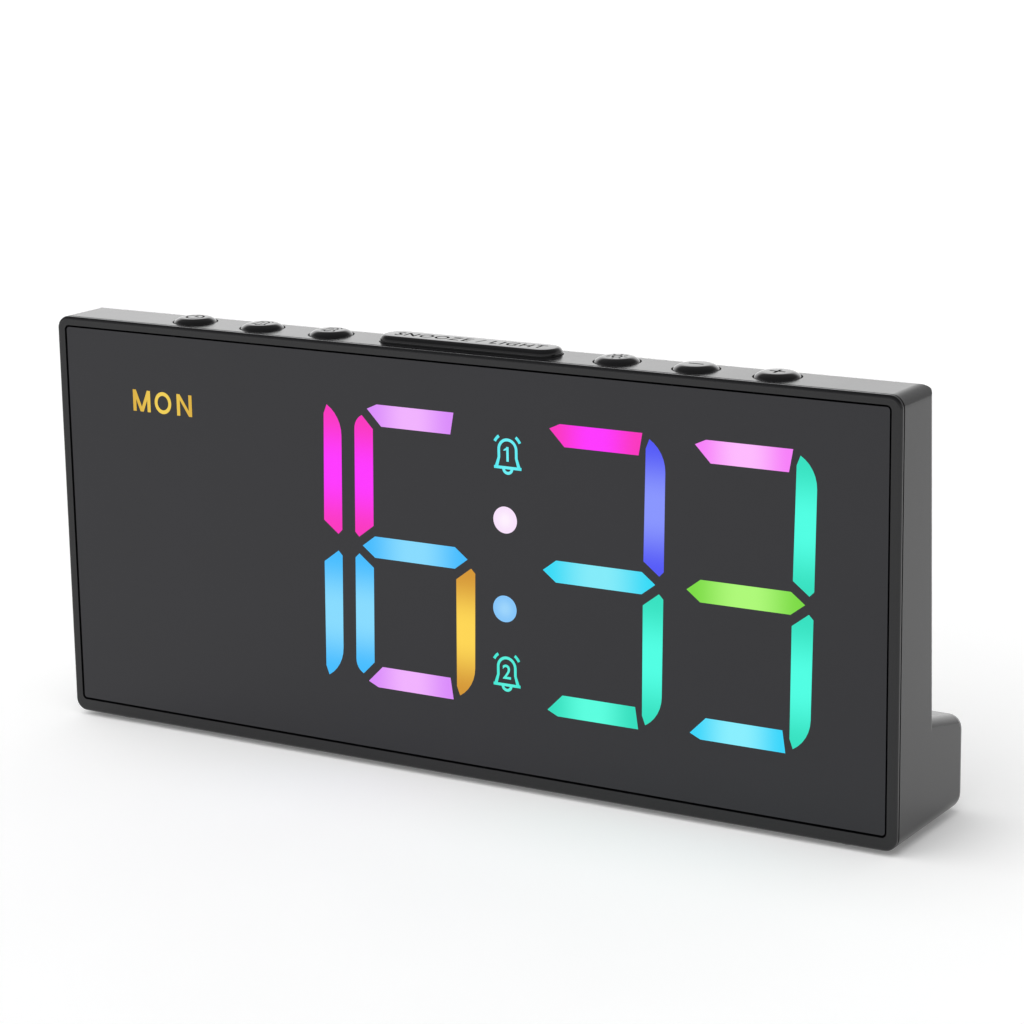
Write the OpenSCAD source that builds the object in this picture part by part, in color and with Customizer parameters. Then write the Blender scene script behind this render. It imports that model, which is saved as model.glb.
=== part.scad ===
// Digital alarm clock: a slim upright housing on a deeper foot, with a flush display panel,
// six round keys and a snooze bar on top, and a backup cell behind a quarter-turn cap.
// The front looks along -Y, the origin is on the table under the middle of the clock.

/* [Housing] */
// Width of the clock
body_w = 184; // [180:1:240]
// Height of the housing, without its rubber feet
body_h = 82.1; // [80:0.1:110]
// Depth of the foot, from the front face to the rear face
foot_depth = 30.3; // [29:0.1:45]
// Height of the foot where it meets the upper back
foot_rise = 20.5; // [19.5:0.1:28]
// Slope of the top of the foot, in degrees
foot_slope = 12; // [0:1:14]
// Lean of the upper back, in degrees
back_lean = 2.1; // [0:0.1:4]
// Room on the top behind the keys
top_margin = 2.7; // [2.7:0.1:6]
// Wall thickness of the mouldings
wall = 2; // [1.6:0.1:2.2]
// Corner radius of the front outline, and of the foot's side edges
corner_r = 2.5; // [1.5:0.1:4]
// Radius of the upright rear edges of the upper body
rear_edge_r = 1.5; // [0.8:0.1:3]
// Radius of the rear edge of the top
top_edge_r = 2.3; // [0.8:0.1:2.3]
// How much larger the radius of the foot's rear edges is than that of its side edges
foot_swell = 0.5; // [0.2:0.1:1.5]

/* [Front frame] */
// Width of the bezel at the sides
bezel_side = 1.9; // [1.8:0.1:6]
// Width of the bezel at the top
bezel_top = 1.7; // [1.7:0.1:5]
// Width of the bezel at the bottom
bezel_bottom = 2.5; // [2:0.1:6]
// Depth of the frame that shows at the sides
lip = 0.9; // [0.8:0.1:1.6]
// Rounding of the frame's outer front edge
front_edge_r = 0.6; // [0.3:0.1:0.8]
// Width of the groove between frame and housing
parting_gap = 0.4; // [0.1:0.05:0.5]
// Thickness of the frame's skirt inside the housing
skirt_t = 0.7; // [0.6:0.05:0.8]
// Width of the ledge behind the panel
ledge_w = 2; // [1.5:0.1:3]
// Thickness of the ledge behind the panel
ledge_t = 1.5; // [1:0.1:2.5]

/* [Display panel] */
// Thickness of the panel
panel_t = 2; // [1.5:0.1:3]
// Depth of the panel's face behind the frame's face
panel_recess = 0.15; // [0:0.05:0.5]
// Gap between panel and frame
panel_gap = 0.4; // [0.1:0.05:0.5]
// Corner radius of the window
window_r = 1; // [0.6:0.1:2]

/* [Digits] */
// Width of a digit
digit_w = 27; // [22:0.5:28]
// Height of the digits above the window's lower edge
digit_foot = 12.7; // [11:0.1:22]
// Distance of the digits from the window's right side
digit_right = 14.5; // [13.5:0.1:20]
// Width of a segment
stroke = 4.2; // [3.4:0.1:4.6]
// Gap between the ends of two segments
segment_gap = 1.8; // [1:0.1:2.4]
// Distance between the digits of a pair
digit_pitch = 30; // [29:0.1:31]
// Distance between the inner digits, across the colon
colon_pitch = 40; // [38:0.1:41]
// Slant of the digits, in degrees
slant = 1.3; // [0:0.1:2]
// Diameter of a colon dot
dot_d = 5.1; // [3:0.1:6]
// Distance between the colon dots
dot_spacing = 17.1; // [12:0.1:22]
// Radius of the outer corners of the right segments
segment_r = 6.7; // [5:0.1:8]
// Radius of the outer corners of the left segments
left_segment_r = 3; // [2.5:0.1:3.5]
// Turn of the right segments' round ends, in degrees
right_turn = 60; // [50:1:65]
// Turn of the left segments' round ends, in degrees
left_turn = 64; // [55:1:70]
// Distance from the digit's top to the tip of the right segments
right_tip_drop = 1; // [0.6:0.1:1.4]
// Distance from the digit's top to the tip of the left segments
left_tip_drop = 2.35; // [2:0.05:2.8]
// Distance from the digit's side to the tip of the middle segment
mid_inset = 1.7; // [1.4:0.1:2]
// Steepness of the pointed ends, rise for each unit of length
mitre = 0.75; // [0.6:0.05:0.9]
// Size of the cut at the outer tip of the side segments
tip_cut = 0.9; // [0.6:0.1:1.2]
// Length of the slant at the top segment's left end
top_slant_l = 2.2; // [1.5:0.1:3]
// Distance from the top segment's right end to the inner side of the right segments
top_end_gap = 0.6; // [0.5:0.1:1]
// Lean of the top segment's right end
top_end_lean = 0.7; // [0.4:0.1:1]
// Lean of the right segments' upper inner corner
right_end_lean = 0.15; // [0.05:0.05:0.3]
// Depth of the slant at the right segments' upper end
right_end_drop = 1.8; // [1.4:0.1:2.2]
// Clearance round a colon dot
dot_clear = 0.02; // [0.01:0.01:0.05]

/* [Display board] */
// Thickness of the light box
light_box_t = 4; // [3:0.1:5]
// Width of the light box's rim round the digits
light_box_rim = 1.2; // [1:0.1:1.4]
// Thickness of the display board
board_t = 1.6; // [1:0.1:2]
// Size of a lamp across the segment
lamp_w = 2.6; // [1.6:0.1:3]
// Length of a lamp along the segment
lamp_l = 3; // [2:0.1:4]
// Height of a lamp
lamp_h = 1.2; // [0.6:0.1:1.8]
// Length of the driver chip
driver_l = 18; // [10:0.5:20]
// Width of the driver chip
driver_w = 7.5; // [5:0.5:10]
// Thickness of the driver chip
driver_t = 1.2; // [0.8:0.1:1.4]
// Gap between the display board and the key screws
board_clear = 0.95; // [0.5:0.05:4]
// How far the display board reaches above the light box
board_over = 0.3; // [0.1:0.1:0.5]
// Height of the display board's lower edge above the main board's underside
board_foot = 3; // [2.5:0.1:3.8]
// Distance of the lower display screws from the board's lower edge
board_post_low = 3; // [2.6:0.1:4]
// Distance of the upper display screws from the board's upper edge
board_post_high = 8; // [6:0.1:12]

/* [Keys] */
// Place of the key row, to the right of the middle
key_shift = 1.3; // [0:0.1:2]
// Diameter of a round key
button_d = 8.6; // [8.4:0.1:11]
// Height of a round key above the top
button_rise = 0.95; // [0.7:0.05:1.5]
// Width of the slope round a round key's top
crown_w = 1.3; // [1.2:0.05:1.5]
// Height of the slope round a round key's top
crown_h = 0.75; // [0.65:0.05:0.9]
// Rounding at the foot of the slope
crown_r = 1.2; // [0.8:0.1:1.3]
// Rounding at the top of the slope
crown_top_r = 2.2; // [1:0.1:2.4]
// Space between round keys
button_space = 7.6; // [6.8:0.1:10]
// Length of the snooze bar
bar_w = 38.6; // [36:0.2:50]
// Depth of the snooze bar
bar_depth = 7.4; // [7:0.1:9]
// Height of the snooze bar above the top
bar_rise = 1.4; // [1.2:0.1:2.5]
// Corner radius of the snooze bar
bar_corner_r = 3.4; // [2:0.1:3.4]
// Rounding of the snooze bar's edge
bar_edge_r = 1.1; // [0.3:0.1:1.2]
// Space between the snooze bar and the next key
bar_space = 7.8; // [5:0.1:10]
// Distance of the snooze bar's switches from its ends
bar_switch_inset = 7.5; // [6:0.1:9]
// Travel of the keys
key_travel = 0.5; // [0.2:0.05:0.55]
// Clearance round the keys
key_clear = 0.2; // [0.15:0.05:0.3]
// Gap between the panel's back and the keys
key_gap = 0.25; // [0.25:0.05:1]
// How far a key's flange reaches past it
flange_over = 0.9; // [0.6:0.1:1]
// Depth of a key's flange
flange_depth = 5.4; // [4:0.1:6]
// Thickness of a key's flange
flange_t = 0.8; // [0.6:0.1:1.2]
// Play between a key's flange and the housing
flange_play = 0.05; // [0.05:0.05:0.1]
// Diameter of a key's stem
stem_d = 3; // [2:0.1:3.2]
// Length of a key's stem
stem_l = 0.4; // [0.3:0.1:1]
// Width of a key switch
switch_w = 6; // [5:0.1:6.4]
// Height of a key switch's body
switch_h = 2.4; // [2:0.1:3]
// Diameter of a switch plunger
plunger_d = 3.4; // [2.4:0.1:3.6]
// Height of a switch plunger above its switch
plunger_rise = 0.7; // [0.65:0.05:0.9]
// Depth of a switch plunger inside its switch
plunger_seat = 0.6; // [0.3:0.1:0.7]
// Clearance round a switch plunger
plunger_clear = 0.2; // [0.1:0.05:0.3]
// Thickness of the key board
key_board_t = 1.2; // [0.8:0.1:1.6]
// Depth of the key board
key_board_depth = 6.6; // [6.4:0.1:7]
// Length of the key board beyond its last switches
key_board_margin = 1; // [0.5:0.1:2]

/* [Foot] */
// Height of the main board's underside above the floor of the housing
main_board_rise = 6; // [4.5:0.1:6.5]
// Width of the main board
main_board_w = 120; // [110:1:150]
// Gap between the main board and its neighbours
main_board_gap = 0.6; // [0.4:0.1:1.5]
// Distance of the main screws from the main board's edges
main_post_inset = 4; // [3.6:0.1:5]
// Width of the pin header
header_w = 28; // [20:1:30]
// Thickness of the pin header
header_t = 2.5; // [2:0.1:3]
// Place of the ribbon, to the right of the middle
ribbon_x = 49; // [46:1:52]
// Width of the ribbon
ribbon_w = 12; // [8:0.5:12]
// Thickness of the ribbon
ribbon_t = 0.4; // [0.2:0.1:0.6]
// Distance of the ribbon from the key board's rear edge
ribbon_edge = 0.4; // [0.2:0.1:0.8]
// Length of the clock chip
chip_l = 10; // [6:0.5:12]
// Width of the clock chip
chip_w = 4; // [3:0.1:6]
// Thickness of the clock chip
chip_t = 1.5; // [1:0.1:2]
// Diameter of the quartz crystal
crystal_d = 2; // [1.5:0.1:3]
// Length of the quartz crystal
crystal_l = 6; // [5:0.5:8]
// Gap between the clock chip and the quartz crystal
crystal_gap = 4; // [1:0.5:5]
// Place of the power inlet, to the right of the middle
inlet_x = 38; // [25:1:45]
// Width of the power inlet
inlet_w = 8.94; // [8:0.01:12]
// Height of the power inlet
inlet_h = 3.26; // [3:0.01:4]
// Length of the power inlet
inlet_l = 7.35; // [6:0.05:10]
// Wall thickness of the power inlet
inlet_wall = 0.35; // [0.3:0.05:0.5]
// Straight part of the power inlet's sides
inlet_flat = 0.1; // [0.05:0.05:0.5]
// Thickness of the power inlet's back
inlet_back_t = 1; // [0.5:0.1:1.5]
// Thickness of the power inlet's tongue
tongue_t = 0.7; // [0.5:0.05:0.9]
// Gap between the tongue and the sides of the power inlet
tongue_side = 0.8; // [0.5:0.1:1.2]
// How far the tongue stays behind the power inlet's mouth
tongue_recess = 1; // [0.5:0.1:2]
// Clearance of the housing round the power inlet
inlet_clear = 0.3; // [0.2:0.05:0.6]
// How far the power inlet's mouth lies inside the rear face
inlet_recess = 0.5; // [0.2:0.1:1]
// Place of the buzzer, to the left of the middle
buzzer_x = 38; // [25:1:44]
// Diameter of the buzzer
buzzer_d = 12; // [9:0.5:12]
// Height of the buzzer
buzzer_h = 6; // [4:0.5:6]
// Diameter of the hole in the buzzer
buzzer_hole_d = 2; // [1:0.1:3]
// Depth of the hole in the buzzer
buzzer_hole_t = 1; // [0.5:0.1:2]
// Diameter of a sound hole
sound_hole_d = 1.4; // [1:0.1:1.8]
// Spacing of the sound holes
sound_pitch = 2.6; // [2.2:0.1:2.8]
// Distance of the sound holes below the middle of the foot
sound_drop = 0.5; // [0:0.1:1]
// Diameter of a rubber foot
rubber_d = 8; // [6:0.5:9]
// Height of a rubber foot below the housing
rubber_rise = 1; // [0.6:0.1:2.5]
// Bevel round the bottom of a rubber foot
rubber_edge = 0.5; // [0.2:0.1:0.6]
// Depth of a rubber foot in its recess
rubber_seat = 0.8; // [0.5:0.1:0.9]
// Clearance round a rubber foot in its recess
rubber_clear = 0.1; // [0.05:0.05:0.3]
// Distance from the rubber feet's middle to the housing's side
rubber_side = 11; // [9:0.5:20]
// Distance from the rubber feet's middle to the foot's front and rear faces
rubber_end = 6.4; // [6:0.1:9]

/* [Battery] */
// Diameter of the coin cell
cell_d = 20; // [16:0.5:20]
// Thickness of the coin cell
cell_t = 3.2; // [2:0.1:3.3]
// Place of the battery cap, to the left of the middle
cap_x = 45; // [35:1:55]
// Height of the battery cap's middle above the foot's top
cap_rise = 18; // [16:0.5:22]
// Thickness of the battery cap's rim
cap_t = 1.6; // [1.2:0.1:1.8]
// Clearance round the battery cap
cap_clear = 0.3; // [0.2:0.05:0.4]
// Clearance of the battery cap along its axis
cap_play = 0.1; // [0.1:0.05:0.15]
// How far the battery cap's rim reaches past its lugs
cap_over = 1; // [0.8:0.1:1.5]
// Wall thickness of the battery chamber
chamber_wall = 1.2; // [1:0.1:1.5]
// Thickness of the battery chamber's floor
chamber_floor_t = 0.8; // [0.6:0.1:1]
// Wall thickness of the battery cap's neck
neck_t = 0.8; // [0.6:0.1:1]
// Thickness of the ring that holds the battery cap's lugs
lug_ring_t = 1; // [0.8:0.1:1.1]
// Length of a lug beyond the neck
lug_reach = 1.3; // [0.9:0.1:1.5]
// Thickness of a lug
lug_t = 0.9; // [0.7:0.1:1]
// Width of a lug
lug_w = 6; // [4:0.5:7]
// Turn that frees the battery cap, in degrees
cap_turn = 45; // [40:5:50]
// Width of the coin slot in the battery cap
coin_slot_w = 1.8; // [1.2:0.1:2.2]
// Depth of the coin slot in the battery cap
coin_slot_t = 0.8; // [0.4:0.1:1]
// Length of the coin slot in the battery cap
coin_slot_l = 16; // [10:0.5:18]
// Thickness of the contacts' sheet
contact_t = 0.3; // [0.2:0.05:0.4]
// Height of the spring contact's dimple
dimple_h = 0.3; // [0.2:0.05:0.4]
// Diameter of the spring contact's dimple
dimple_d = 3; // [2:0.1:4]
// Length of the spring contact
spring_l = 14; // [10:0.5:16]
// Width of the spring contact
spring_w = 5; // [4:0.1:6]
// Width of the side contact
clip_w = 4; // [3:0.1:6]
// Diameter of a battery lead
lead_d = 1; // [0.8:0.1:1.2]
// Distance between the battery leads
lead_spacing = 6; // [4:0.5:8]

/* [Fasteners] */
// Diameter of the housing screws
screw_d = 2.6; // [2:0.1:3]
// Length of the housing screws
screw_l = 8; // [6.5:0.1:8.2]
// Head diameter of the housing screws
screw_head_d = 5; // [4:0.1:5.4]
// Head height of the housing screws
screw_head_h = 1.8; // [1.2:0.1:2]
// Depth of the housing screws' heads in their holes
screw_sink = 0.4; // [0.2:0.1:0.6]
// Diameter of the board screws
small_screw_d = 2; // [1.6:0.1:2.2]
// Length of the board screws
small_screw_l = 4.4; // [3.5:0.1:4.6]
// Head diameter of the board screws
small_head_d = 3.6; // [3:0.1:3.8]
// Head height of the board screws
small_head_h = 1.2; // [0.8:0.1:1.2]
// Clearance round the screws
screw_clear = 0.05; // [0.03:0.01:0.1]
// Wall thickness round a screw in its post
post_wall = 1.2; // [1:0.1:1.3]
// Distance of the screw posts from the window's sides
post_inset = 5.6; // [5.4:0.1:7]
// Height of the lower housing screws' bosses above the foot
post_foot_gap = 2; // [1:0.1:4]
// Gap between the upper housing screws' bosses and the top
post_top_gap = 0.3; // [0.2:0.1:1]
// How far the screw posts stand out behind the display board
post_over = 0.4; // [0.2:0.1:0.6]
// Thickness of a screw post's closed end
post_floor = 0.6; // [0.4:0.1:0.8]
// How much deeper a hole is than its screw
hole_over = 0.3; // [0.2:0.1:0.5]
// Clearance between pieces that slide together on assembly
fit_clear = 0.1; // [0.05:0.05:0.15]

/* [Hidden] */
$fn = 96;
// How far cutting forms reach past the faces they cut
past = 1;
// Smallest radius that an inner corner keeps
least_r = 0.4;
// Straight pieces in a segment's round end
arc_steps = 6;

// Places along the depth, from the front face
front_y = -foot_depth / 2;
panel_back = panel_recess + panel_t;
light_box_back = panel_back + light_box_t;
board_back = light_box_back + board_t;
key_depth = max(button_d, bar_depth);
key_row = panel_back + key_gap + key_depth / 2;
top_depth = key_row + key_depth / 2 + top_margin;
rim_front = lip + parting_gap;
ledge_back = panel_back + ledge_t;
post_front = panel_back + post_floor;
post_end = board_back + post_over;

// Heights above the table
base_z = rubber_rise;
top_z = base_z + body_h;
mid_z = (base_z + top_z) / 2;
inner_top = top_z - wall;
inner_base = base_z + wall;
window_w = body_w - 2 * bezel_side;
window_z0 = base_z + bezel_bottom;
window_z1 = top_z - bezel_top;
foot_top = base_z + foot_rise;
foot_root = back_at(foot_top);
rear_r = corner_r + foot_swell;

// Keys, from the underside of the top down to the key board
flange_top = inner_top - flange_play;
stem_end = flange_top - flange_t - stem_l;
switch_top = stem_end - plunger_rise;
key_board_top = switch_top - switch_h;
key_board_z = key_board_top - key_board_t;
button_pitch = button_d + button_space;
button_x = bar_w / 2 + bar_space + button_d / 2;
bar_switch_x = bar_w / 2 - bar_switch_inset;
key_post_x = [for (step = [0.5, 1.5], side = [-1, 1])
    key_shift + side * (button_x + step * button_pitch)];
key_board_w = 2 * (button_x + 2 * button_pitch + switch_w / 2 + key_board_margin);

// Display
minute_units_x = window_w / 2 - digit_right - digit_w / 2;
minute_tens_x = minute_units_x - digit_pitch;
colon_x = minute_tens_x - colon_pitch / 2;
hour_units_x = colon_x - colon_pitch / 2;
hour_tens_x = hour_units_x - digit_pitch;
digit_x = [hour_tens_x, hour_units_x, minute_tens_x, minute_units_x];
board_top = key_board_z - small_head_h - board_clear;
light_box_z1 = board_top - board_over;
digit_top = light_box_z1 - light_box_rim;
digit_base = window_z0 + digit_foot;
digit_h = digit_top - digit_base;
digit_z = (digit_top + digit_base) / 2;
kinds = ["a", "b", "c", "d", "e", "f", "g"];
light_box_reach = digit_w / 2 + light_box_rim + digit_h / 2 * tan(slant);
light_box_x0 = hour_tens_x - light_box_reach;
light_box_x1 = minute_units_x + light_box_reach;
light_box_z0 = digit_base - light_box_rim;
board_base = inner_base + main_board_rise + board_foot;
board_w = window_w - 2 * ledge_w;

// Screw posts between frame, board and housing
post_x = window_w / 2 - post_inset;
screw_r = screw_d / 2 + screw_clear;
post_r = screw_r + post_wall;
boss_r = screw_head_d / 2 + screw_clear + post_wall;
housing_post_z = [foot_top + boss_r + post_foot_gap, inner_top - boss_r - post_top_gap];
small_r = small_screw_d / 2 + screw_clear;
small_post_r = small_r + post_wall;
board_post_z = [board_base + board_post_low, board_top - board_post_high];

// Foot
main_board_z = inner_base + main_board_rise;
main_board_top = main_board_z + board_t;
main_board_d0 = board_back + main_board_gap;
main_board_d1 = foot_depth - wall - main_board_gap;
main_board_mid = (main_board_d0 + main_board_d1) / 2;
main_post_x = main_board_w / 2 - main_post_inset;
main_post = [for (side = [-1, 1], row = [main_board_d0 + main_post_inset, main_board_d1 - main_post_inset])
    [side * main_post_x, row]];
ribbon_d = key_row + key_board_depth / 2 - ribbon_t - ribbon_edge;
sound_z = base_z + foot_rise / 2 - sound_drop;

// Battery chamber, as depths from the outer face of the back
cap_z = foot_top + cap_rise;
lug_ring_z = cap_t + cap_play;
lug_z = lug_ring_z + lug_ring_t + cap_play;
neck_end = lug_z + lug_t;
lug_room = neck_end + cap_play;
cell_z = cap_t + cap_play;
cell_floor = cell_z + cell_t + contact_t + dimple_h;
chamber_end = cell_floor + chamber_floor_t;
cell_room_r = cell_d / 2 + cap_clear;
neck_r = cell_room_r + neck_t;
lug_r = neck_r + lug_reach;
cap_r = lug_r + cap_over;
chamber_r = lug_r + cap_clear + chamber_wall;
lug_turns = [0, 120, 240];

panel_colour = "#3b3b3e";
housing_colour = "#454548";
key_colour = "#1b1b1d";
board_colour = "#1f5a36";
metal_colour = "#b9bcc0";
unlit_colour = "#3f3f43";

// Depth of the leaning back at a height
function back_at(z) = top_depth + (top_z - z) * tan(back_lean);

// Height of the sloping top of the foot at a depth
function foot_z(d) = foot_top - (d - foot_root) * tan(foot_slope);

// Corner geometry of an outline that runs anticlockwise
function unit(v) = v / norm(v);
function before(p, i) = p[(i + len(p) - 1) % len(p)];
function after(p, i) = p[(i + 1) % len(p)];
function to_before(p, i) = unit(before(p, i) - p[i]);
function to_after(p, i) = unit(after(p, i) - p[i]);
function half_angle(p, i) = acos(to_before(p, i) * to_after(p, i)) / 2;
function tangent_l(p, i, r) = r / tan(half_angle(p, i));
function centre(p, i, r) = p[i] + unit(to_before(p, i) + to_after(p, i)) * r / sin(half_angle(p, i));
function cut_corner(p, i, r) = r == 0 ? [p[i]] :
    [p[i] + to_before(p, i) * tangent_l(p, i, r), p[i] + to_after(p, i) * tangent_l(p, i, r)];

function corner_kite(p, i, r) = let (ends = cut_corner(p, i, r))
    [ends[0], p[i], ends[1], centre(p, i, r)];

// Outline with convex corners rounded by true arcs, one radius for each corner
module rounded(p, radii) {
    polygon([for (i = [0 : len(p) - 1]) each cut_corner(p, i, radii[i])]);
    for (i = [0 : len(p) - 1]) if (radii[i] > 0) intersection() {
        translate(centre(p, i, radii[i])) circle(radii[i]);
        polygon(corner_kite(p, i, radii[i]));
    }
}

module round_rect(x0, y0, x1, y1, r0, r1) {
    rounded([[x0, y0], [x1, y0], [x1, y1], [x0, y1]], [r0, r0, r1, r1]);
}

// Outline in x and z, drawn out from one depth to another
module along_y(d0, d1) {
    translate([0, front_y + d1, 0]) rotate([90, 0, 0]) linear_extrude(d1 - d0) children();
}

// Outline in depth and z, drawn out over a width about the middle
module along_x(w) {
    translate([-w / 2, front_y, 0]) rotate([90, 0, 90]) linear_extrude(w) children();
}

// Outline in x and depth, drawn out from one height to another
module along_z(z0, z1) {
    translate([0, front_y, z0]) linear_extrude(z1 - z0) children();
}

// Round bar along the depth
module rod_y(x, z, r, d0, d1) {
    translate([x, front_y + d0, z]) rotate([-90, 0, 0]) cylinder(r = r, h = d1 - d0);
}

// Slab with round corners whose upper edge is rounded all round
module soft_slab(w, h, r, t, edge) {
    module side_profile(reach) {
        rounded([[-reach, 0], [reach, 0], [reach, t], [-reach, t]], [0, 0, edge, edge]);
    }
    translate([-w / 2 + r, 0, 0]) rotate([90, 0, 90]) linear_extrude(w - 2 * r) side_profile(h / 2);
    translate([0, h / 2 - r, 0]) rotate([90, 0, 0]) linear_extrude(h - 2 * r) side_profile(w / 2);
    for (x = [-1, 1], y = [-1, 1]) translate([x * (w / 2 - r), y * (h / 2 - r), 0]) rotate_extrude()
        rounded([[0, 0], [r, 0], [r, t], [0, t]], [0, 0, edge, 0]);
}

// Segments of a digit about its own middle
half_w = digit_w / 2;
half_h = digit_h / 2;
mid_tip = half_w - mid_inset;
mid_point_l = stroke / 2 / mitre;
inner_x = half_w - stroke;
tip_x = half_w - tip_cut;
right_tip_z = half_h - right_tip_drop;
left_tip_z = half_h - left_tip_drop;
function mitre_z(x) = mitre * (mid_tip - x) + segment_gap * sqrt(1 + mitre * mitre);
function arc(x, z, r, a0, a1) = [for (i = [0 : arc_steps])
    let (a = a0 + (a1 - a0) * i / arc_steps) [x + r * cos(a), z + r * sin(a)]];
left_arc = arc(left_segment_r - half_w, left_tip_z - left_segment_r * sin(left_turn), left_segment_r,
    180, 180 - left_turn);
right_arc = arc(half_w - segment_r, right_tip_z - segment_r * sin(right_turn), segment_r, 0, right_turn);
left_tip = left_arc[len(left_arc) - 1];
top_mitre = left_tip[0] + left_tip[1] + segment_gap * sqrt(2);
middle_segment = [for (side = [-1, 1]) each [
    [side * mid_tip, 0],
    [side * (mid_tip - mid_point_l), side * stroke / 2],
    [-side * (mid_tip - mid_point_l), side * stroke / 2]
]];
top_segment = [
    [top_mitre - right_tip_z, right_tip_z],
    [top_mitre - right_tip_z + top_slant_l, half_h],
    [inner_x - top_end_gap, half_h],
    [inner_x - top_end_gap - top_end_lean, half_h - stroke],
    [top_mitre - half_h + stroke, half_h - stroke]
];
right_segment = concat(
    [[inner_x, mitre_z(inner_x)], [tip_x, mitre_z(tip_x)], [half_w, mitre_z(tip_x) + tip_cut]],
    right_arc,
    [[inner_x + right_end_lean, right_tip_z - right_end_drop]]
);
left_segment = concat(
    [[-inner_x, mitre_z(inner_x)], [-tip_x, mitre_z(tip_x)], [-half_w, mitre_z(tip_x) + tip_cut]],
    left_arc,
    [[-inner_x, left_tip[1] + inner_x + left_tip[0]]]
);
function flip(p) = [for (q = p) [q[0], -q[1]]];
function segment(kind) =
    kind == "a" ? top_segment :
    kind == "b" ? right_segment :
    kind == "c" ? flip(right_segment) :
    kind == "d" ? flip(top_segment) :
    kind == "e" ? flip(left_segment) :
    kind == "f" ? left_segment : middle_segment;
lamp_x = half_w - stroke / 2;
lamp_z = half_h - stroke / 2;
function lamp_at(kind) =
    kind == "a" ? [0, lamp_z] :
    kind == "b" ? [lamp_x, half_h / 2] :
    kind == "c" ? [lamp_x, -half_h / 2] :
    kind == "d" ? [0, -lamp_z] :
    kind == "e" ? [-lamp_x, -half_h / 2] :
    kind == "f" ? [-lamp_x, half_h / 2] : [0, 0];
function slanted(p, x) = [x + p[0] + p[1] * tan(slant), digit_z + p[1]];

module digit_outline(x) {
    for (kind = kinds) polygon([for (p = segment(kind)) slanted(p, x)]);
}

module dot_outline(clear) {
    for (side = [-1, 1]) translate(slanted([0, side * dot_spacing / 2], colon_x)) circle(dot_d / 2 + clear);
}

module display_windows() {
    for (x = digit_x) digit_outline(x);
    dot_outline(dot_clear);
}

module digit_segments(x) {
    color(unlit_colour) along_y(panel_recess, panel_back) digit_outline(x);
}

module window_outline(gap) {
    r = max(window_r + gap, least_r);
    round_rect(-window_w / 2 - gap, window_z0 - gap, window_w / 2 + gap, window_z1 + gap, r, r);
}

function inner_r(r, inset) = max(r - inset, least_r);

// Upright form of the housing, drawn in by a distance on every side but the front
module upper_form(inset, front) {
    z0 = base_z + inset;
    z1 = top_z - inset;
    shift = inset / cos(back_lean);
    intersection() {
        along_x(body_w + past) rounded([[front, z0], [back_at(z0) - shift, z0], [back_at(z1) - shift, z1],
            [front, z1]], [0, 0, inner_r(top_edge_r, inset), 0]);
        along_y(front - past, foot_depth + past) outline_form(inset);
        translate([0, front_y + top_depth, top_z]) rotate([back_lean, 0, 0])
            translate([0, 0, -2 * body_h]) linear_extrude(3 * body_h)
                round_rect(inset - body_w / 2, -2 * foot_depth, body_w / 2 - inset, -inset, 0,
                    inner_r(rear_edge_r, inset));
    }
}

// Side profile of the foot, drawn in by a distance
function foot_profile(inset, front, top_front) = let (
        rear = foot_depth - inset,
        drop = inset / cos(foot_slope))
    [[front, base_z + inset], [rear, base_z + inset], [rear, foot_z(rear) - drop],
        [top_front, foot_z(top_front) - drop]];

// Round-ended bar over the foot's width, along one edge of its profile
module foot_bar(a, b) {
    translate([0, front_y + a[0], a[1]]) rotate([atan2(b[1] - a[1], b[0] - a[0]) - 90, 0, 0])
        linear_extrude(norm(b - a)) rounded(
            [[-body_w / 2, -rear_r], [body_w / 2, -rear_r], [body_w / 2, 0], [-body_w / 2, 0]],
            [0, 0, corner_r, corner_r]);
}

// Bend between the bars of two edges
module foot_bend(p, i) {
    c = centre(p, i, rear_r);
    from = cut_corner(p, i, rear_r)[0] - c;
    translate([0, front_y + c[0], c[1]]) rotate([atan2(from[1], from[0]), 0, 0]) rotate([90, 0, 90])
        rotate_extrude(angle = 180 - 2 * half_angle(p, i)) rounded(
            [[0, -body_w / 2], [rear_r, -body_w / 2], [rear_r, body_w / 2], [0, body_w / 2]],
            [0, corner_r, corner_r, 0]);
}

// Outer form of the foot: a core, a bar along each edge and the bends between them
module soft_foot(front) {
    p = foot_profile(0, front, foot_root / 2);
    low = cut_corner(p, 1, rear_r);
    high = cut_corner(p, 2, rear_r);
    along_x(body_w) polygon(foot_profile(corner_r, front, foot_root / 2));
    foot_bar(p[0], low[0]);
    foot_bar(low[1], high[0]);
    foot_bar(high[1], p[3]);
    foot_bend(p, 1);
    foot_bend(p, 2);
}

module outline_form(inset) {
    r = inner_r(corner_r, inset);
    round_rect(inset - body_w / 2, base_z + inset, body_w / 2 - inset, top_z - inset, r, r);
}

// Room inside the housing
module housing_room() {
    upper_form(wall, -past);
    along_x(body_w - 2 * wall) polygon(foot_profile(wall, -past, -past));
}

// Local frame of the battery cap: z points out of the leaning back
module at_cap() {
    translate([-cap_x, front_y + back_at(cap_z), cap_z]) rotate([back_lean - 90, 0, 0]) children();
}

module ring_step(r, depth0, depth1) {
    translate([0, 0, -depth1]) cylinder(r = r, h = depth1 - depth0);
}

module lugs(r, depth0, depth1, clear) {
    for (turn = lug_turns) rotate(turn) intersection() {
        ring_step(r, depth0, depth1);
        translate([0, -lug_w / 2 - clear, -depth1]) cube([2 * r, lug_w + 2 * clear, depth1 - depth0]);
    }
}

module at_keys() {
    for (step = [-3, -2, -1, 1, 2, 3]) at_key(step) children();
}

module at_key(step) {
    side = step < 0 ? -1 : 1;
    x = key_shift + side * (button_x + (abs(step) - 1) * button_pitch);
    translate([x, front_y + key_row, 0]) children();
}

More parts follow.
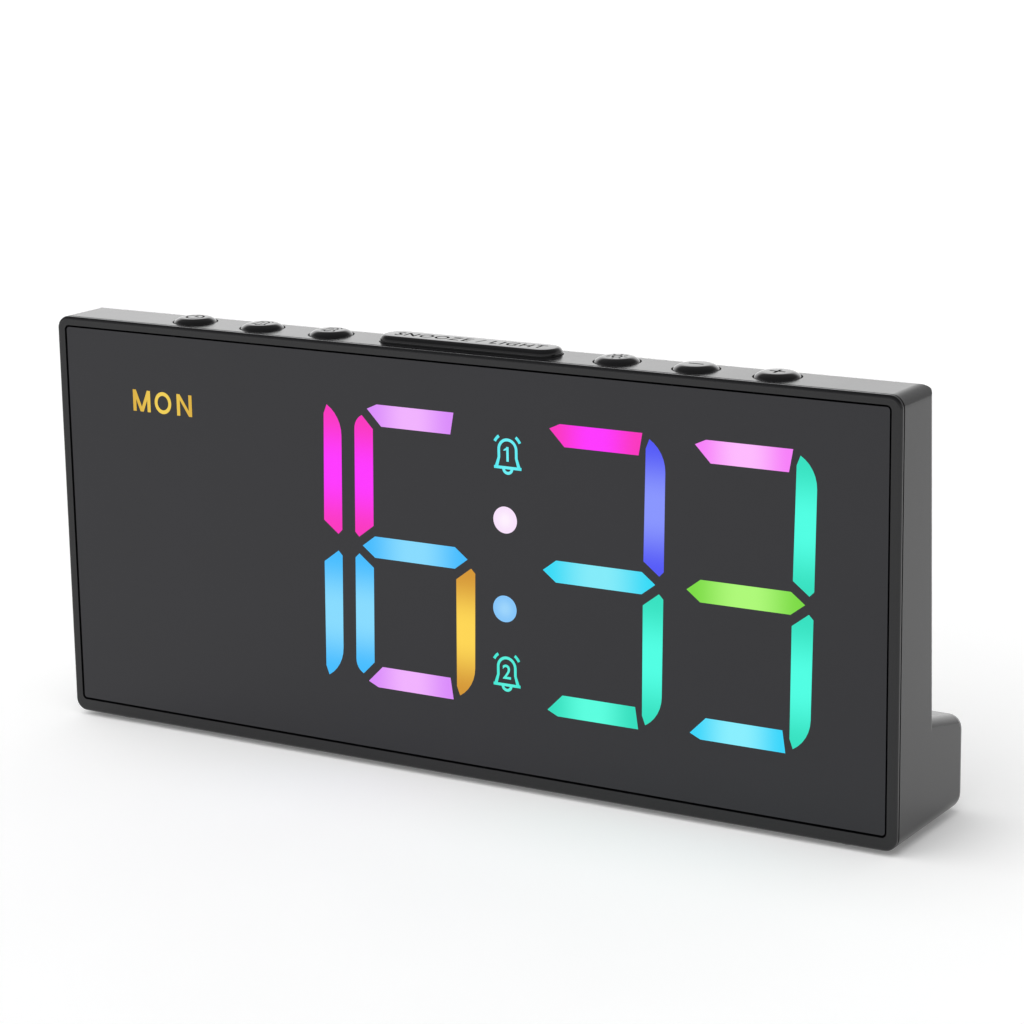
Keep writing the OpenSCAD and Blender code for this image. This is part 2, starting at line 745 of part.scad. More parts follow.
module at_bar() {
    translate([key_shift, front_y + key_row, 0]) children();
}

module at_bar_switches() {
    at_bar() for (side = [-1, 1]) translate([side * bar_switch_x, 0, 0]) children();
}

module front_frame() {
    color(housing_colour) difference() {
        union() {
            difference() {
                union() {
                    translate([0, front_y + lip, mid_z]) rotate([90, 0, 0])
                        soft_slab(body_w, body_h, corner_r, lip, front_edge_r);
                    along_y(lip / 2, ledge_back) window_outline(skirt_t);
                }
                along_y(-past, panel_back) window_outline(0);
                along_y(panel_back - past, ledge_back + past)
                    round_rect(-board_w / 2, window_z0 + ledge_w, board_w / 2, top_z + past, window_r, 0);
            }
            for (side = [-1, 1]) {
                for (z = housing_post_z) frame_post(side, z, post_r, post_end);
                for (z = board_post_z) frame_post(side, z, small_post_r, light_box_back);
            }
        }
        for (side = [-1, 1]) {
            for (z = housing_post_z) rod_y(side * post_x, z, screw_r, post_front, post_end + past);
            for (z = board_post_z) rod_y(side * post_x, z, small_r, post_front, light_box_back + past);
        }
    }
}

// Post on a pad that stands in from the ledge
module frame_post(side, z, r, d1) {
    rod_y(side * post_x, z, r, panel_back, d1);
    pad_end = window_w / 2 - ledge_w / 2;
    along_y(panel_back, ledge_back) translate([side * (post_x + pad_end) / 2, z])
        square([pad_end - post_x, 2 * r], center = true);
}

module display_panel() {
    color(panel_colour) along_y(panel_recess, panel_back) difference() {
        window_outline(-panel_gap);
        display_windows();
    }
}

module hour_tens_segments() { digit_segments(hour_tens_x); }

module hour_units_segments() { digit_segments(hour_units_x); }

module minute_tens_segments() { digit_segments(minute_tens_x); }

module minute_units_segments() { digit_segments(minute_units_x); }

module colon_dots() {
    color(unlit_colour) along_y(panel_recess, panel_back) dot_outline(0);
}

module light_box() {
    color("white") along_y(panel_back, light_box_back) difference() {
        translate([light_box_x0, light_box_z0])
            square([light_box_x1 - light_box_x0, light_box_z1 - light_box_z0]);
        display_windows();
    }
}

module display_board() {
    color(board_colour) along_y(light_box_back, board_back) difference() {
        translate([-board_w / 2, board_base]) square([board_w, board_top - board_base]);
        for (side = [-1, 1]) {
            for (z = board_post_z) translate([side * post_x, z]) circle(small_r);
            for (z = housing_post_z) translate([side * post_x, z]) circle(post_r + 2 * fit_clear);
        }
    }
}

module segment_leds() {
    color("ivory") along_y(light_box_back - lamp_h, light_box_back) {
        for (x = digit_x, kind = kinds) translate(slanted(lamp_at(kind), x))
            square(len(search(kind, "adg")) > 0 ? [lamp_l, lamp_w] : [lamp_w, lamp_l], center = true);
        for (side = [-1, 1]) translate(slanted([0, side * dot_spacing / 2], colon_x))
            square(min(lamp_w, dot_d / 2), center = true);
    }
}

module driver_chip() {
    color("#222222") along_y(board_back, board_back + driver_t) translate([colon_x, digit_z])
        square([driver_l, driver_w], center = true);
}

module screw(r, l, head_r, head_h) {
    translate([0, 0, -l]) cylinder(r = r, h = l + head_h / 2);
    cylinder(r = head_r, h = head_h);
}

module screw_y(x, z, d, r, l, head_r, head_h) {
    translate([x, front_y + d, z]) rotate([-90, 0, 0]) screw(r, l, head_r, head_h);
}

module display_screws() {
    color(metal_colour) for (side = [-1, 1], z = board_post_z)
        screw_y(side * post_x, z, board_back, small_screw_d / 2, small_screw_l, small_head_d / 2,
            small_head_h);
}

function screw_seat(z) = back_at(z + boss_r) - screw_sink - screw_head_h;

module housing_screws() {
    color(metal_colour) for (side = [-1, 1], z = housing_post_z)
        screw_y(side * post_x, z, screw_seat(z), screw_d / 2, screw_l, screw_head_d / 2, screw_head_h);
}

module rear_housing() {
    color(housing_colour) difference() {
        union() {
            difference() {
                union() {
                    upper_form(0, rim_front);
                    soft_foot(rim_front);
                }
                housing_room();
            }
            for (side = [-1, 1], z = housing_post_z)
                rod_y(side * post_x, z, boss_r, post_end, back_at(z) - wall / 2);
            for (x = key_post_x) translate([x, front_y + key_row, key_board_top])
                cylinder(r = small_post_r, h = inner_top + wall / 2 - key_board_top);
            for (p = main_post) translate([p[0], front_y + p[1], inner_base - wall / 2])
                cylinder(r = small_post_r, h = main_board_rise + wall / 2);
            at_cap() ring_step(chamber_r, wall / 2, chamber_end);
        }
        // Rebate for the frame's skirt
        along_y(-past, ledge_back + fit_clear) window_outline(skirt_t + fit_clear);
        for (side = [-1, 1], z = housing_post_z) {
            rod_y(side * post_x, z, screw_r, post_end - past, foot_depth);
            rod_y(side * post_x, z, screw_head_d / 2 + screw_clear, screw_seat(z), foot_depth);
        }
        for (x = key_post_x) translate([x, front_y + key_row, key_board_top - past])
            cylinder(r = small_r, h = small_screw_l + past);
        for (p = main_post) translate([p[0], front_y + p[1], main_board_top - small_screw_l - hole_over])
            cylinder(r = small_r, h = small_screw_l);
        at_keys() translate([0, 0, inner_top - past])
            cylinder(r = button_d / 2 + key_clear, h = wall + 2 * past);
        at_bar() translate([0, 0, inner_top - past]) linear_extrude(wall + 2 * past)
            bar_outline(key_clear);
        at_feet() cylinder(r = rubber_d / 2 + rubber_clear, h = rubber_rise + rubber_seat);
        along_y(foot_depth - 2 * wall, foot_depth + past) translate([inlet_x, main_board_top])
            inlet_outline(-inlet_clear);
        for (p = sound_holes)
            rod_y(p[0] - buzzer_x, sound_z + p[1], sound_hole_d / 2, foot_depth - 2 * wall,
                foot_depth + past);
        at_cap() {
            ring_step(cap_r + cap_clear, -past, lug_ring_z);
            ring_step(neck_r + cap_clear, 0, lug_room);
            rotate(cap_turn) lugs(lug_r + cap_clear / 2, 0, lug_z, cap_clear);
            ring_step(lug_r + cap_clear, lug_ring_z + lug_ring_t, lug_room);
            ring_step(cell_room_r, 0, cell_floor);
            clip_pocket();
        }
    }
}

// Middle hole and two rings round it
sound_holes = concat([[0, 0]], [for (n = [1, 2], i = [0 : 6 * n - 1])
    n * sound_pitch * [cos(60 * i / n), sin(60 * i / n)]]);

module bar_outline(grow) {
    r = bar_corner_r + grow;
    round_rect(-bar_w / 2 - grow, -bar_depth / 2 - grow, bar_w / 2 + grow, bar_depth / 2 + grow, r, r);
}

module at_feet() {
    for (side = [-1, 1], d = [rubber_end, foot_depth - rubber_end])
        translate([side * (body_w / 2 - rubber_side), front_y + d, 0]) children();
}

module rubber_feet() {
    r = rubber_d / 2;
    h = rubber_rise + rubber_seat;
    color("#151515") at_feet() rotate_extrude()
        polygon([[0, 0], [r - rubber_edge, 0], [r, rubber_edge], [r, h], [0, h]]);
}

module round_key() {
    r = button_d / 2;
    h = top_z + button_rise - flange_top;
    translate([0, 0, flange_top]) rotate_extrude()
        rounded([[0, 0], [r, 0], [r, h - crown_h], [r - crown_w, h], [0, h]],
            [0, 0, crown_r, crown_top_r, 0]);
    key_flange(button_d);
    translate([0, 0, stem_end]) cylinder(d = stem_d, h = stem_l + flange_t / 2);
}

module key_flange(w) {
    reach = w / 2 + flange_over;
    translate([-reach, -flange_depth / 2, flange_top - flange_t]) cube([2 * reach, flange_depth, flange_t]);
}

module button(step) {
    color(key_colour) at_key(step) round_key();
}

module time_button() { button(-3); }

module alarm_1_button() { button(-2); }

module alarm_2_button() { button(-1); }

module light_button() { button(1); }

module minus_button() { button(2); }

module plus_button() { button(3); }

module snooze_bar() {
    color(key_colour) {
        at_bar() {
            translate([0, 0, flange_top])
                soft_slab(bar_w, bar_depth, bar_corner_r, top_z + bar_rise - flange_top, bar_edge_r);
            key_flange(bar_w);
        }
        at_bar_switches() translate([0, 0, stem_end]) cylinder(d = stem_d, h = stem_l + flange_t / 2);
    }
}

module plunger() {
    color("#303030") translate([0, 0, switch_top - plunger_seat])
        cylinder(d = plunger_d, h = plunger_seat + plunger_rise);
}

module time_plunger() { at_key(-3) plunger(); }

module alarm_1_plunger() { at_key(-2) plunger(); }

module alarm_2_plunger() { at_key(-1) plunger(); }

module light_plunger() { at_key(1) plunger(); }

module minus_plunger() { at_key(2) plunger(); }

module plus_plunger() { at_key(3) plunger(); }

module snooze_plungers() { at_bar_switches() plunger(); }

module switch_body() {
    difference() {
        translate([-switch_w / 2, -switch_w / 2, key_board_top]) cube([switch_w, switch_w, switch_h]);
        translate([0, 0, switch_top - plunger_seat - key_travel - plunger_clear])
            cylinder(d = plunger_d + 2 * plunger_clear, h = switch_h);
    }
}

module key_switches() {
    color("#2a2a2a") {
        at_keys() switch_body();
        at_bar_switches() switch_body();
    }
}

module key_board() {
    color(board_colour) along_z(key_board_z, key_board_top) difference() {
        translate([key_shift, key_row]) square([key_board_w, key_board_depth], center = true);
        for (x = key_post_x) translate([x, key_row]) circle(small_r);
    }
}

module key_screws() {
    color(metal_colour) for (x = key_post_x)
        translate([x, front_y + key_row, key_board_z]) rotate([180, 0, 0])
            screw(small_screw_d / 2, small_screw_l, small_head_d / 2, small_head_h);
}

module key_ribbon() {
    color("#c8c8c8") along_z(main_board_top, key_board_z) translate([ribbon_x - ribbon_w / 2, ribbon_d])
        square([ribbon_w, ribbon_t]);
}

module main_board() {
    color(board_colour) along_z(main_board_z, main_board_top) difference() {
        translate([-main_board_w / 2, main_board_d0]) square([main_board_w, main_board_d1 - main_board_d0]);
        for (p = main_post) translate(p) circle(small_r);
    }
}

module main_screws() {
    color(metal_colour) for (p = main_post) translate([p[0], front_y + p[1], main_board_top])
        screw(small_screw_d / 2, small_screw_l, small_head_d / 2, small_head_h);
}

module pin_header() {
    color("#1a1a1a") along_y(board_back, board_back + header_t)
        translate([-header_w / 2, main_board_top]) square([header_w, header_t]);
}

module clock_chip() {
    color("#222222") along_z(main_board_top, main_board_top + chip_t) translate([0, main_board_mid])
        square([chip_l, chip_w], center = true);
}

module quartz_crystal() {
    x = chip_l / 2 + crystal_gap;
    color(metal_colour) translate([x, front_y + main_board_mid, main_board_top + crystal_d / 2])
        rotate([0, 90, 0]) cylinder(d = crystal_d, h = crystal_l);
}

module buzzer() {
    color("#1c1c1c") translate([-buzzer_x, front_y + main_board_mid, main_board_top]) difference() {
        cylinder(d = buzzer_d, h = buzzer_h);
        translate([0, 0, buzzer_h - buzzer_hole_t]) cylinder(d = buzzer_hole_d, h = buzzer_hole_t + past);
    }
}

// Outline of the inlet on its board, drawn in by a distance
module inlet_outline(inset) {
    r = (inlet_h - inlet_flat) / 2 - inset;
    round_rect(inset - inlet_w / 2, inset, inlet_w / 2 - inset, inlet_h - inset, r, r);
}

module power_inlet() {
    mouth = foot_depth - inlet_recess;
    color(metal_colour) translate([inlet_x, 0, main_board_top]) {
        difference() {
            along_y(mouth - inlet_l, mouth) inlet_outline(0);
            along_y(mouth - inlet_l + inlet_back_t, mouth + past) inlet_outline(inlet_wall);
        }
        along_y(mouth - inlet_l + inlet_back_t / 2, mouth - tongue_recess) translate([0, inlet_h / 2])
            square([inlet_w - 2 * (inlet_wall + tongue_side), tongue_t], center = true);
    }
}

module battery_cap() {
    color(housing_colour) at_cap() difference() {
        union() {
            ring_step(cap_r, 0, cap_t);
            difference() {
                union() {
                    ring_step(neck_r, cap_t / 2, neck_end);
                    lugs(lug_r, lug_z, neck_end, 0);
                }
                ring_step(cell_room_r, cap_t, neck_end + past);
            }
        }
        translate([-coin_slot_l / 2, -coin_slot_w / 2, -coin_slot_t])
            cube([coin_slot_l, coin_slot_w, coin_slot_t + past]);
    }
}

module coin_cell() {
    color(metal_colour) at_cap() ring_step(cell_d / 2, cell_z, cell_z + cell_t);
}

// Leaf on the chamber's floor with a dimple that touches the cell
module cell_spring() {
    color("#caa55a") at_cap() {
        translate([-spring_l / 2, -spring_w / 2, -cell_floor]) cube([spring_l, spring_w, contact_t]);
        ring_step(dimple_d / 2, cell_z + cell_t, cell_z + cell_t + dimple_h + contact_t / 2);
    }
}

// Room for the side contact beside the coin cell
module clip_pocket() {
    translate([cell_d / 2 - past, -clip_w / 2 - fit_clear, -cell_floor])
        cube([past + contact_t + 2 * fit_clear, clip_w + 2 * fit_clear, cell_floor - lug_room + cap_play]);
}

// Strip that stands beside the cell's rim
module cell_clip() {
    color("#caa55a") at_cap() translate([cell_d / 2 + fit_clear / 2, -clip_w / 2, -cell_floor])
        cube([contact_t, clip_w, cell_floor - lug_room]);
}

module battery_leads() {
    top = cap_z - chamber_r / 2;
    y = front_y + board_back + lead_d / 2 + fit_clear;
    color("#a03030") for (side = [-1, 1])
        translate([-cap_x + side * lead_spacing / 2, y, main_board_top])
            cylinder(d = lead_d, h = top - main_board_top);
}

front_frame();
display_panel();
hour_tens_segments();
hour_units_segments();
minute_tens_segments();
minute_units_segments();
colon_dots();
light_box();
display_board();
segment_leds();
driver_chip();
display_screws();
rear_housing();
housing_screws();
rubber_feet();
time_button();
alarm_1_button();
alarm_2_button();
light_button();
minus_button();
plus_button();
snooze_bar();
time_plunger();
alarm_1_plunger();
alarm_2_plunger();
light_plunger();
minus_plunger();
plus_plunger();
snooze_plungers();
key_board();
key_switches();
key_screws();
key_ribbon();
main_board();
main_screws();
pin_header();
clock_chip();
quartz_crystal();
buzzer();
power_inlet();
battery_cap();
coin_cell();
cell_spring();
cell_clip();
battery_leads();
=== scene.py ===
# %% [markdown]
# # A slim bedside clock with a colour display
# The clock's solids are ready: an upright housing on a deeper foot, a flush dark panel, keys on top and
# the boards inside. This lesson dresses them for a studio picture. Each moulding gets its finish, the
# windows of the display are lit, and the small signs that the solids leave out are modelled here.

# %% Load the clock
import math

import bpy
from mathutils import Matrix, Vector


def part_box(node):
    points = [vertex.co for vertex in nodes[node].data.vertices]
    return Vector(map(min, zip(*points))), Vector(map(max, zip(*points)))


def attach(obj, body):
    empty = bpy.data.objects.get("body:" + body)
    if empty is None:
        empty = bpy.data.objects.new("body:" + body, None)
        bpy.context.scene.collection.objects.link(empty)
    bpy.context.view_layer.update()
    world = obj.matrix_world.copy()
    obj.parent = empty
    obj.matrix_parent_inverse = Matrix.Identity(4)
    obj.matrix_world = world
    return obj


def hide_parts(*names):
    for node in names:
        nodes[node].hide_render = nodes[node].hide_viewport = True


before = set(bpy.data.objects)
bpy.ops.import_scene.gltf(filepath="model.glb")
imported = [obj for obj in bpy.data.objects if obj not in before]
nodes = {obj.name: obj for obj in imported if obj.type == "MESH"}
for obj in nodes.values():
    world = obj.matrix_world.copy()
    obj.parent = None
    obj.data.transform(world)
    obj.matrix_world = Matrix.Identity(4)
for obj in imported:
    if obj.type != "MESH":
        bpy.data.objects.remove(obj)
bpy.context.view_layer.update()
MM = 0.001
print("solids loaded:", len(nodes))

# %% [markdown]
# ## Camera
# The picture was taken from the right and a little above, with a long lens, so the long edges converge
# only slightly. A camera could be aimed with a constraint, but three plain turns are easier to read: tilt
# down, a small roll, then the turn round the clock.

# %% Camera
CAMERA_PLACE = Vector((305.5, -492.65, 187.85)) * MM
AZIMUTH = 31.41
ELEVATION = 13.42
ROLL = -0.94
LENS_MM = 109.4
SENSOR_MM = 36.0
NEAREST_MM = 10

bpy.ops.object.camera_add(location=CAMERA_PLACE)
camera = bpy.context.object
turn_round = Matrix.Rotation(math.radians(AZIMUTH), 3, "Z")
tilt_down = Matrix.Rotation(math.radians(90 - ELEVATION), 3, "X")
roll = Matrix.Rotation(math.radians(ROLL), 3, "Z")
camera.rotation_euler = (turn_round @ tilt_down @ roll).to_euler()
camera.data.sensor_width = SENSOR_MM
camera.data.lens = LENS_MM
camera.data.clip_start = NEAREST_MM * MM
bpy.context.scene.camera = camera
print("camera distance in mm:", round(camera.location.length / MM))

# %% [markdown]
# ## Colours and nodes
# Screen colours are written as sRGB hex codes, while the shader works with linear light, so one function
# turns the first into the second. A second function adds a shader node with its settings, its fixed values
# and its wires in one line, which keeps each finish below short enough to read. A third starts a material.


# %% Colour and node helpers
def linear(code):
    """Linear RGBA of an sRGB hex code."""
    parts = [int(code[i:i + 2], 16) / 255 for i in (0, 2, 4)]
    return [c / 12.92 if c <= 0.04045 else ((c + 0.055) / 1.055) ** 2.4 for c in parts] + [1.0]


def add_node(tree, kind, values=None, wires=None, **settings):
    """Adds a node with its settings, the fixed values of its inputs and the outputs wired to them."""
    node = tree.nodes.new(kind)
    for key, value in settings.items():
        setattr(node, key, value)
    for key, value in (values or {}).items():
        node.inputs[key].default_value = value
    for key, source in (wires or {}).items():
        tree.links.new(source, node.inputs[key])
    return node


def start_material(name, **sockets):
    """A new material whose surface shader has these fixed values, with underscores for spaces."""
    material = bpy.data.materials.new(name)
    material.use_nodes = True
    shader = material.node_tree.nodes["Principled BSDF"]
    for key, value in sockets.items():
        shader.inputs[key.replace("_", " ")].default_value = value
    return material, material.node_tree, shader


# places of the sockets on a Mix node that blends two colours
MIX_FACTOR, MIX_FIRST, MIX_SECOND, MIX_RESULT = 0, 6, 7, 2
print("white in linear light:", linear("ffffff")[0])

# %% [markdown]
# ## The room
# Black plastic shows mostly what it reflects. The picture was taken on white paper, before a bright
# backdrop and under a dim ceiling: flat faces mirror the paper and the backdrop, while rounded edges mirror
# the dim rest of the room and turn into dark lines. Panels of light could stand round the clock, but their
# edges would show in the gloss. So the world itself is bright near the horizon behind the clock, fainter
# beside it and dim above, with two smooth steps between.

# %% World
HORIZON = 1.55
CEILING = 0.22
BRIGHT_UP_TO = math.sin(math.radians(18))
DIM_FROM = math.sin(math.radians(38))
BACKDROP_SIDE = Vector((-0.52, 0.85, 0.0))
BACKDROP_FULL = math.cos(math.radians(28))
BACKDROP_END = math.cos(math.radians(58))
SIDE_SHARE = 0.3

scene = bpy.context.scene
scene.view_settings.view_transform = "Standard"
scene.world = bpy.data.worlds.new("white_sweep")
scene.world.use_nodes = True
sky = scene.world.node_tree
direction = add_node(sky, "ShaderNodeTexCoord").outputs["Generated"]
height = add_node(sky, "ShaderNodeSeparateXYZ", wires={0: direction})
level = add_node(sky, "ShaderNodeMapRange",
                 {"From Min": BRIGHT_UP_TO, "From Max": DIM_FROM,
                  "To Min": HORIZON - CEILING, "To Max": 0.0},
                 {"Value": height.outputs["Z"]}, interpolation_type="SMOOTHSTEP")
towards = add_node(sky, "ShaderNodeVectorMath", {1: BACKDROP_SIDE}, {0: direction}, operation="DOT_PRODUCT")
share = add_node(sky, "ShaderNodeMapRange",
                 {"From Min": BACKDROP_END, "From Max": BACKDROP_FULL, "To Min": SIDE_SHARE, "To Max": 1.0},
                 {"Value": towards.outputs["Value"]}, interpolation_type="SMOOTHSTEP")
light = add_node(sky, "ShaderNodeMath", {2: CEILING}, {0: level.outputs[0], 1: share.outputs[0]},
                 operation="MULTIPLY_ADD")
sky.nodes["Background"].inputs["Color"].default_value = linear("ffffff")
sky.links.new(light.outputs[0], sky.nodes["Background"].inputs["Strength"])
print("world brightness from", CEILING, "to", HORIZON)

# %% [markdown]
# ## Main light
# A studio hangs one large soft box over the table. An area lamp would fall off with distance, while a sun
# with a wide angle lights the table evenly and casts the same soft shadow. It is kept out of the mirror
# rays, because the world already makes the reflections. Its strength brings the light on the table to the
# level at which white paper renders white.

# %% Sun
SUN_STRENGTH = 2.1
SUN_WIDTH = 90
SUN_TILT = (24, -16, 0)

bpy.ops.object.light_add(type="SUN", rotation=[math.radians(angle) for angle in SUN_TILT])
sun = bpy.context.object
sun.data.energy = SUN_STRENGTH
sun.data.angle = math.radians(SUN_WIDTH)
sun.visible_glossy = False
print("sun strength:", sun.data.energy)

# %% [markdown]
# ## Paper floor
# The clock stands on rolled white paper. A plane large enough to reach the horizon does for it, with faint
# cloudy fibres in its colour. Towards the camera and the mirror rays the paper gives a little light of its
# own, so that it stays white up to the clock and only the soft shadow close to it is left.

# %% Floor
FLOOR_M = 30
FIBRE_MM = 40
FLOOR_LIFT = 0.13

bpy.ops.mesh.primitive_plane_add(size=FLOOR_M)
floor = bpy.context.object
floor.name = "studio_floor"
# matt paper: an even white without gloss
paper, tree, shader = start_material("Matt white paper, rolled", Roughness=0.95, IOR=1.3)
place = add_node(tree, "ShaderNodeTexCoord").outputs["Object"]
fibre = add_node(tree, "ShaderNodeTexNoise", {"Scale": 1 / (FIBRE_MM * MM), "Detail": 2}, {"Vector": place})
tone = add_node(tree, "ShaderNodeMix", {MIX_FIRST: linear("fbfbfb"), MIX_SECOND: linear("ffffff")},
                {MIX_FACTOR: fibre.outputs["Fac"]}, data_type="RGBA")
tree.links.new(tone.outputs[MIX_RESULT], shader.inputs["Base Color"])
ray = add_node(tree, "ShaderNodeLightPath").outputs
seen = add_node(tree, "ShaderNodeMath", wires={0: ray["Is Camera Ray"], 1: ray["Is Glossy Ray"]},
                operation="MAXIMUM")
seen = add_node(tree, "ShaderNodeMath", wires={0: seen.outputs[0], 1: ray["Is Transmission Ray"]},
                operation="MAXIMUM")
lift = add_node(tree, "ShaderNodeMath", {1: FLOOR_LIFT}, {0: seen.outputs[0]}, operation="MULTIPLY")
shader.inputs["Emission Color"].default_value = linear("ffffff")
tree.links.new(lift.outputs[0], shader.inputs["Emission Strength"])
floor.data.materials.append(paper)
print("floor is", round(floor.dimensions.x), "m wide")

# %% [markdown]
# ## Moulded plastics
# Nearly every visible piece is injection-moulded ABS. What differs is the mould: a spark-eroded wall leaves a
# fine satin grain, a polished one gives gloss. Each could have a material of its own, but one function keeps
# them alike. Slow noise varies the tone and the gloss as the melt did when it flowed, and fine noise is the
# grain, drawn coarser than the real one so that it still shows in a picture of this size.

# %% Moulded plastic
FLOW_MM = 14.0


def moulded_plastic(name, dark, light, gloss, grain_mm, depth_mm, ior=1.5):
    """Plastic with a tone from dark to light, a roughness range and a grain of this size and depth."""
    material, tree, shader = start_material(name, IOR=ior)
    place = add_node(tree, "ShaderNodeTexCoord").outputs["Object"]
    flow = add_node(tree, "ShaderNodeTexNoise", {"Scale": 1 / (FLOW_MM * MM), "Detail": 3}, {"Vector": place})
    tone = add_node(tree, "ShaderNodeMix", {MIX_FIRST: linear(dark), MIX_SECOND: linear(light)},
                    {MIX_FACTOR: flow.outputs["Fac"]}, data_type="RGBA")
    sheen = add_node(tree, "ShaderNodeMapRange", {"To Min": gloss[0], "To Max": gloss[1]},
                     {"Value": flow.outputs["Fac"]})
    grain = add_node(tree, "ShaderNodeTexNoise", {"Scale": 1 / (grain_mm * MM), "Detail": 1},
                     {"Vector": place})
    bump = add_node(tree, "ShaderNodeBump", {"Strength": 1.0, "Distance": depth_mm * MM},
                    {"Height": grain.outputs["Fac"]})
    tree.links.new(tone.outputs[MIX_RESULT], shader.inputs["Base Color"])
    tree.links.new(sheen.outputs[0], shader.inputs["Roughness"])
    tree.links.new(bump.outputs[0], shader.inputs["Normal"])
    return material


# satin black from a finely eroded mould: soft, wide reflections
housing_abs = moulded_plastic("Black ABS, satin moulded", "0f0f11", "141416", (0.18, 0.23), 0.5, 0.002,
                              ior=1.46)
# smoother faceplate: the reflection of the paper stays even from edge to edge
panel_abs = moulded_plastic("Dark faceplate, fine satin", "0f0f15", "13131a", (0.15, 0.19), 0.4, 0.0006,
                            ior=1.49)
# keys from a polished mould: sharp highlights on their round edges
key_abs = moulded_plastic("Black ABS, polished mould", "08080a", "0c0c0e", (0.07, 0.12), 1.2, 0.0008)
# white reflector that spreads the lamps' light: bright and without gloss
reflector_abs = moulded_plastic("White ABS, matt moulded", "e4e4df", "f0f0ec", (0.45, 0.6), 0.6, 0.004)
# transfer-moulded resin of chips, switches and the header: dull, dark grey
chip_resin = moulded_plastic("Black resin, transfer moulded", "101010", "191919", (0.5, 0.65), 0.3, 0.006)
# clear resin over the lamps: a pale, glossy drop
lamp_resin = moulded_plastic("Pale lamp resin, cast", "e6dcb4", "f2ebd0", (0.12, 0.2), 0.8, 0.001)
# soft insulation of the leads: deep red with a weak shine
lead_vinyl = moulded_plastic("Red vinyl, extruded", "7d1b19", "8f2421", (0.35, 0.45), 0.4, 0.002)
print("plastics:", [m.name for m in bpy.data.materials if "ABS" in m.name])

# %% [markdown]
# ## Rubber
# Four discs under the foot keep the clock from sliding. Rubber pressed in a blasted mould has no gloss, and
# with time a pale bloom comes to its surface. A plain dark colour would look like paint, so one cloudy noise
# varies both the tone and the dullness.

# %% Rubber
BLOOM_MM = 3


def soft_rubber(name):
    """Black rubber, pressed in a blasted mould: no gloss, a faint bloom on the surface."""
    material, tree, shader = start_material(name, IOR=1.52)
    place = add_node(tree, "ShaderNodeTexCoord").outputs["Object"]
    bloom = add_node(tree, "ShaderNodeTexNoise", {"Scale": 1 / (BLOOM_MM * MM), "Detail": 4},
                     {"Vector": place})
    tone = add_node(tree, "ShaderNodeMix", {MIX_FIRST: linear("0c0c0c"), MIX_SECOND: linear("161616")},
                    {MIX_FACTOR: bloom.outputs["Fac"]}, data_type="RGBA")
    dull = add_node(tree, "ShaderNodeMapRange", {"To Min": 0.7, "To Max": 0.85},
                    {"Value": bloom.outputs["Fac"]})
    tree.links.new(tone.outputs[MIX_RESULT], shader.inputs["Base Color"])
    tree.links.new(dull.outputs[0], shader.inputs["Roughness"])
    return material


foot_rubber = soft_rubber("Black rubber, pressed")
print("made", foot_rubber.name)

# %% [markdown]
# ## Circuit boards
# The three boards are glass fibre under a green solder mask, and copper tracks raise the lacquer a little.
# Tracks could be drawn as meshes, but inside a closed housing nobody follows them. A brick pattern is enough:
# its mortar lines are the tracks, and the same pattern gives the relief.

# %% Circuit boards
TRACK_MM = 1.9
MASK_MM = 0.02


def solder_mask(name):
    """Green lacquer over copper: the tracks stand out as paler lines under it."""
    material, tree, shader = start_material(name, Roughness=0.32, IOR=1.5)
    place = add_node(tree, "ShaderNodeTexCoord").outputs["Object"]
    tracks = add_node(tree, "ShaderNodeTexBrick",
                      {"Scale": 1 / (TRACK_MM * MM), "Mortar Size": 0.09, "Brick Width": 2.6,
                       "Row Height": 0.6, "Color1": linear("14432a"), "Color2": linear("164a2e"),
                       "Mortar": linear("2c6d45")}, {"Vector": place})
    bump = add_node(tree, "ShaderNodeBump", {"Strength": 0.6, "Distance": MASK_MM * MM},
                    {"Height": tracks.outputs["Fac"]})
    tree.links.new(tracks.outputs["Color"], shader.inputs["Base Color"])
    tree.links.new(bump.outputs[0], shader.inputs["Normal"])
    return material


board_mask = solder_mask("Glass-fibre board, green mask")
print("made", board_mask.name)

# %% [markdown]
# ## Metals
# Screws, the inlet's shell, the cell and its springs are rolled or drawn metal, and rolling leaves fine lines
# along the sheet. An anisotropic shader would stretch the highlights, but it gets lost in an export. Noise
# that is stretched in one direction keeps the lines in the colour and the gloss instead.

# %% Metals
LINE_MM = 0.25
ALONG_SHEET = (0.15, 1.0, 1.0)


def rolled_metal(name, dark, light, rough):
    """Sheet or wire metal whose rolling left fine lines along one direction."""
    material, tree, shader = start_material(name, Metallic=1.0)
    place = add_node(tree, "ShaderNodeTexCoord").outputs["Object"]
    along = add_node(tree, "ShaderNodeMapping", {"Scale": ALONG_SHEET}, {"Vector": place})
    lines = add_node(tree, "ShaderNodeTexNoise", {"Scale": 1 / (LINE_MM * MM), "Detail": 2},
                     {"Vector": along.outputs[0]})
    tone = add_node(tree, "ShaderNodeMix", {MIX_FIRST: linear(dark), MIX_SECOND: linear(light)},
                    {MIX_FACTOR: lines.outputs["Fac"]}, data_type="RGBA")
    dull = add_node(tree, "ShaderNodeMapRange", {"To Min": rough[0], "To Max": rough[1]},
                    {"Value": lines.outputs["Fac"]})
    tree.links.new(tone.outputs[MIX_RESULT], shader.inputs["Base Color"])
    tree.links.new(dull.outputs[0], shader.inputs["Roughness"])
    return material


# nickel plating: a warm, slightly clouded silver
nickel_steel = rolled_metal("Steel, nickel plated", "9c9a95", "c4c2bc", (0.22, 0.34))
# bare stainless sheet of the cell: colder and brighter
cell_steel = rolled_metal("Stainless steel, rolled", "a9abad", "cfd0d2", (0.16, 0.26))
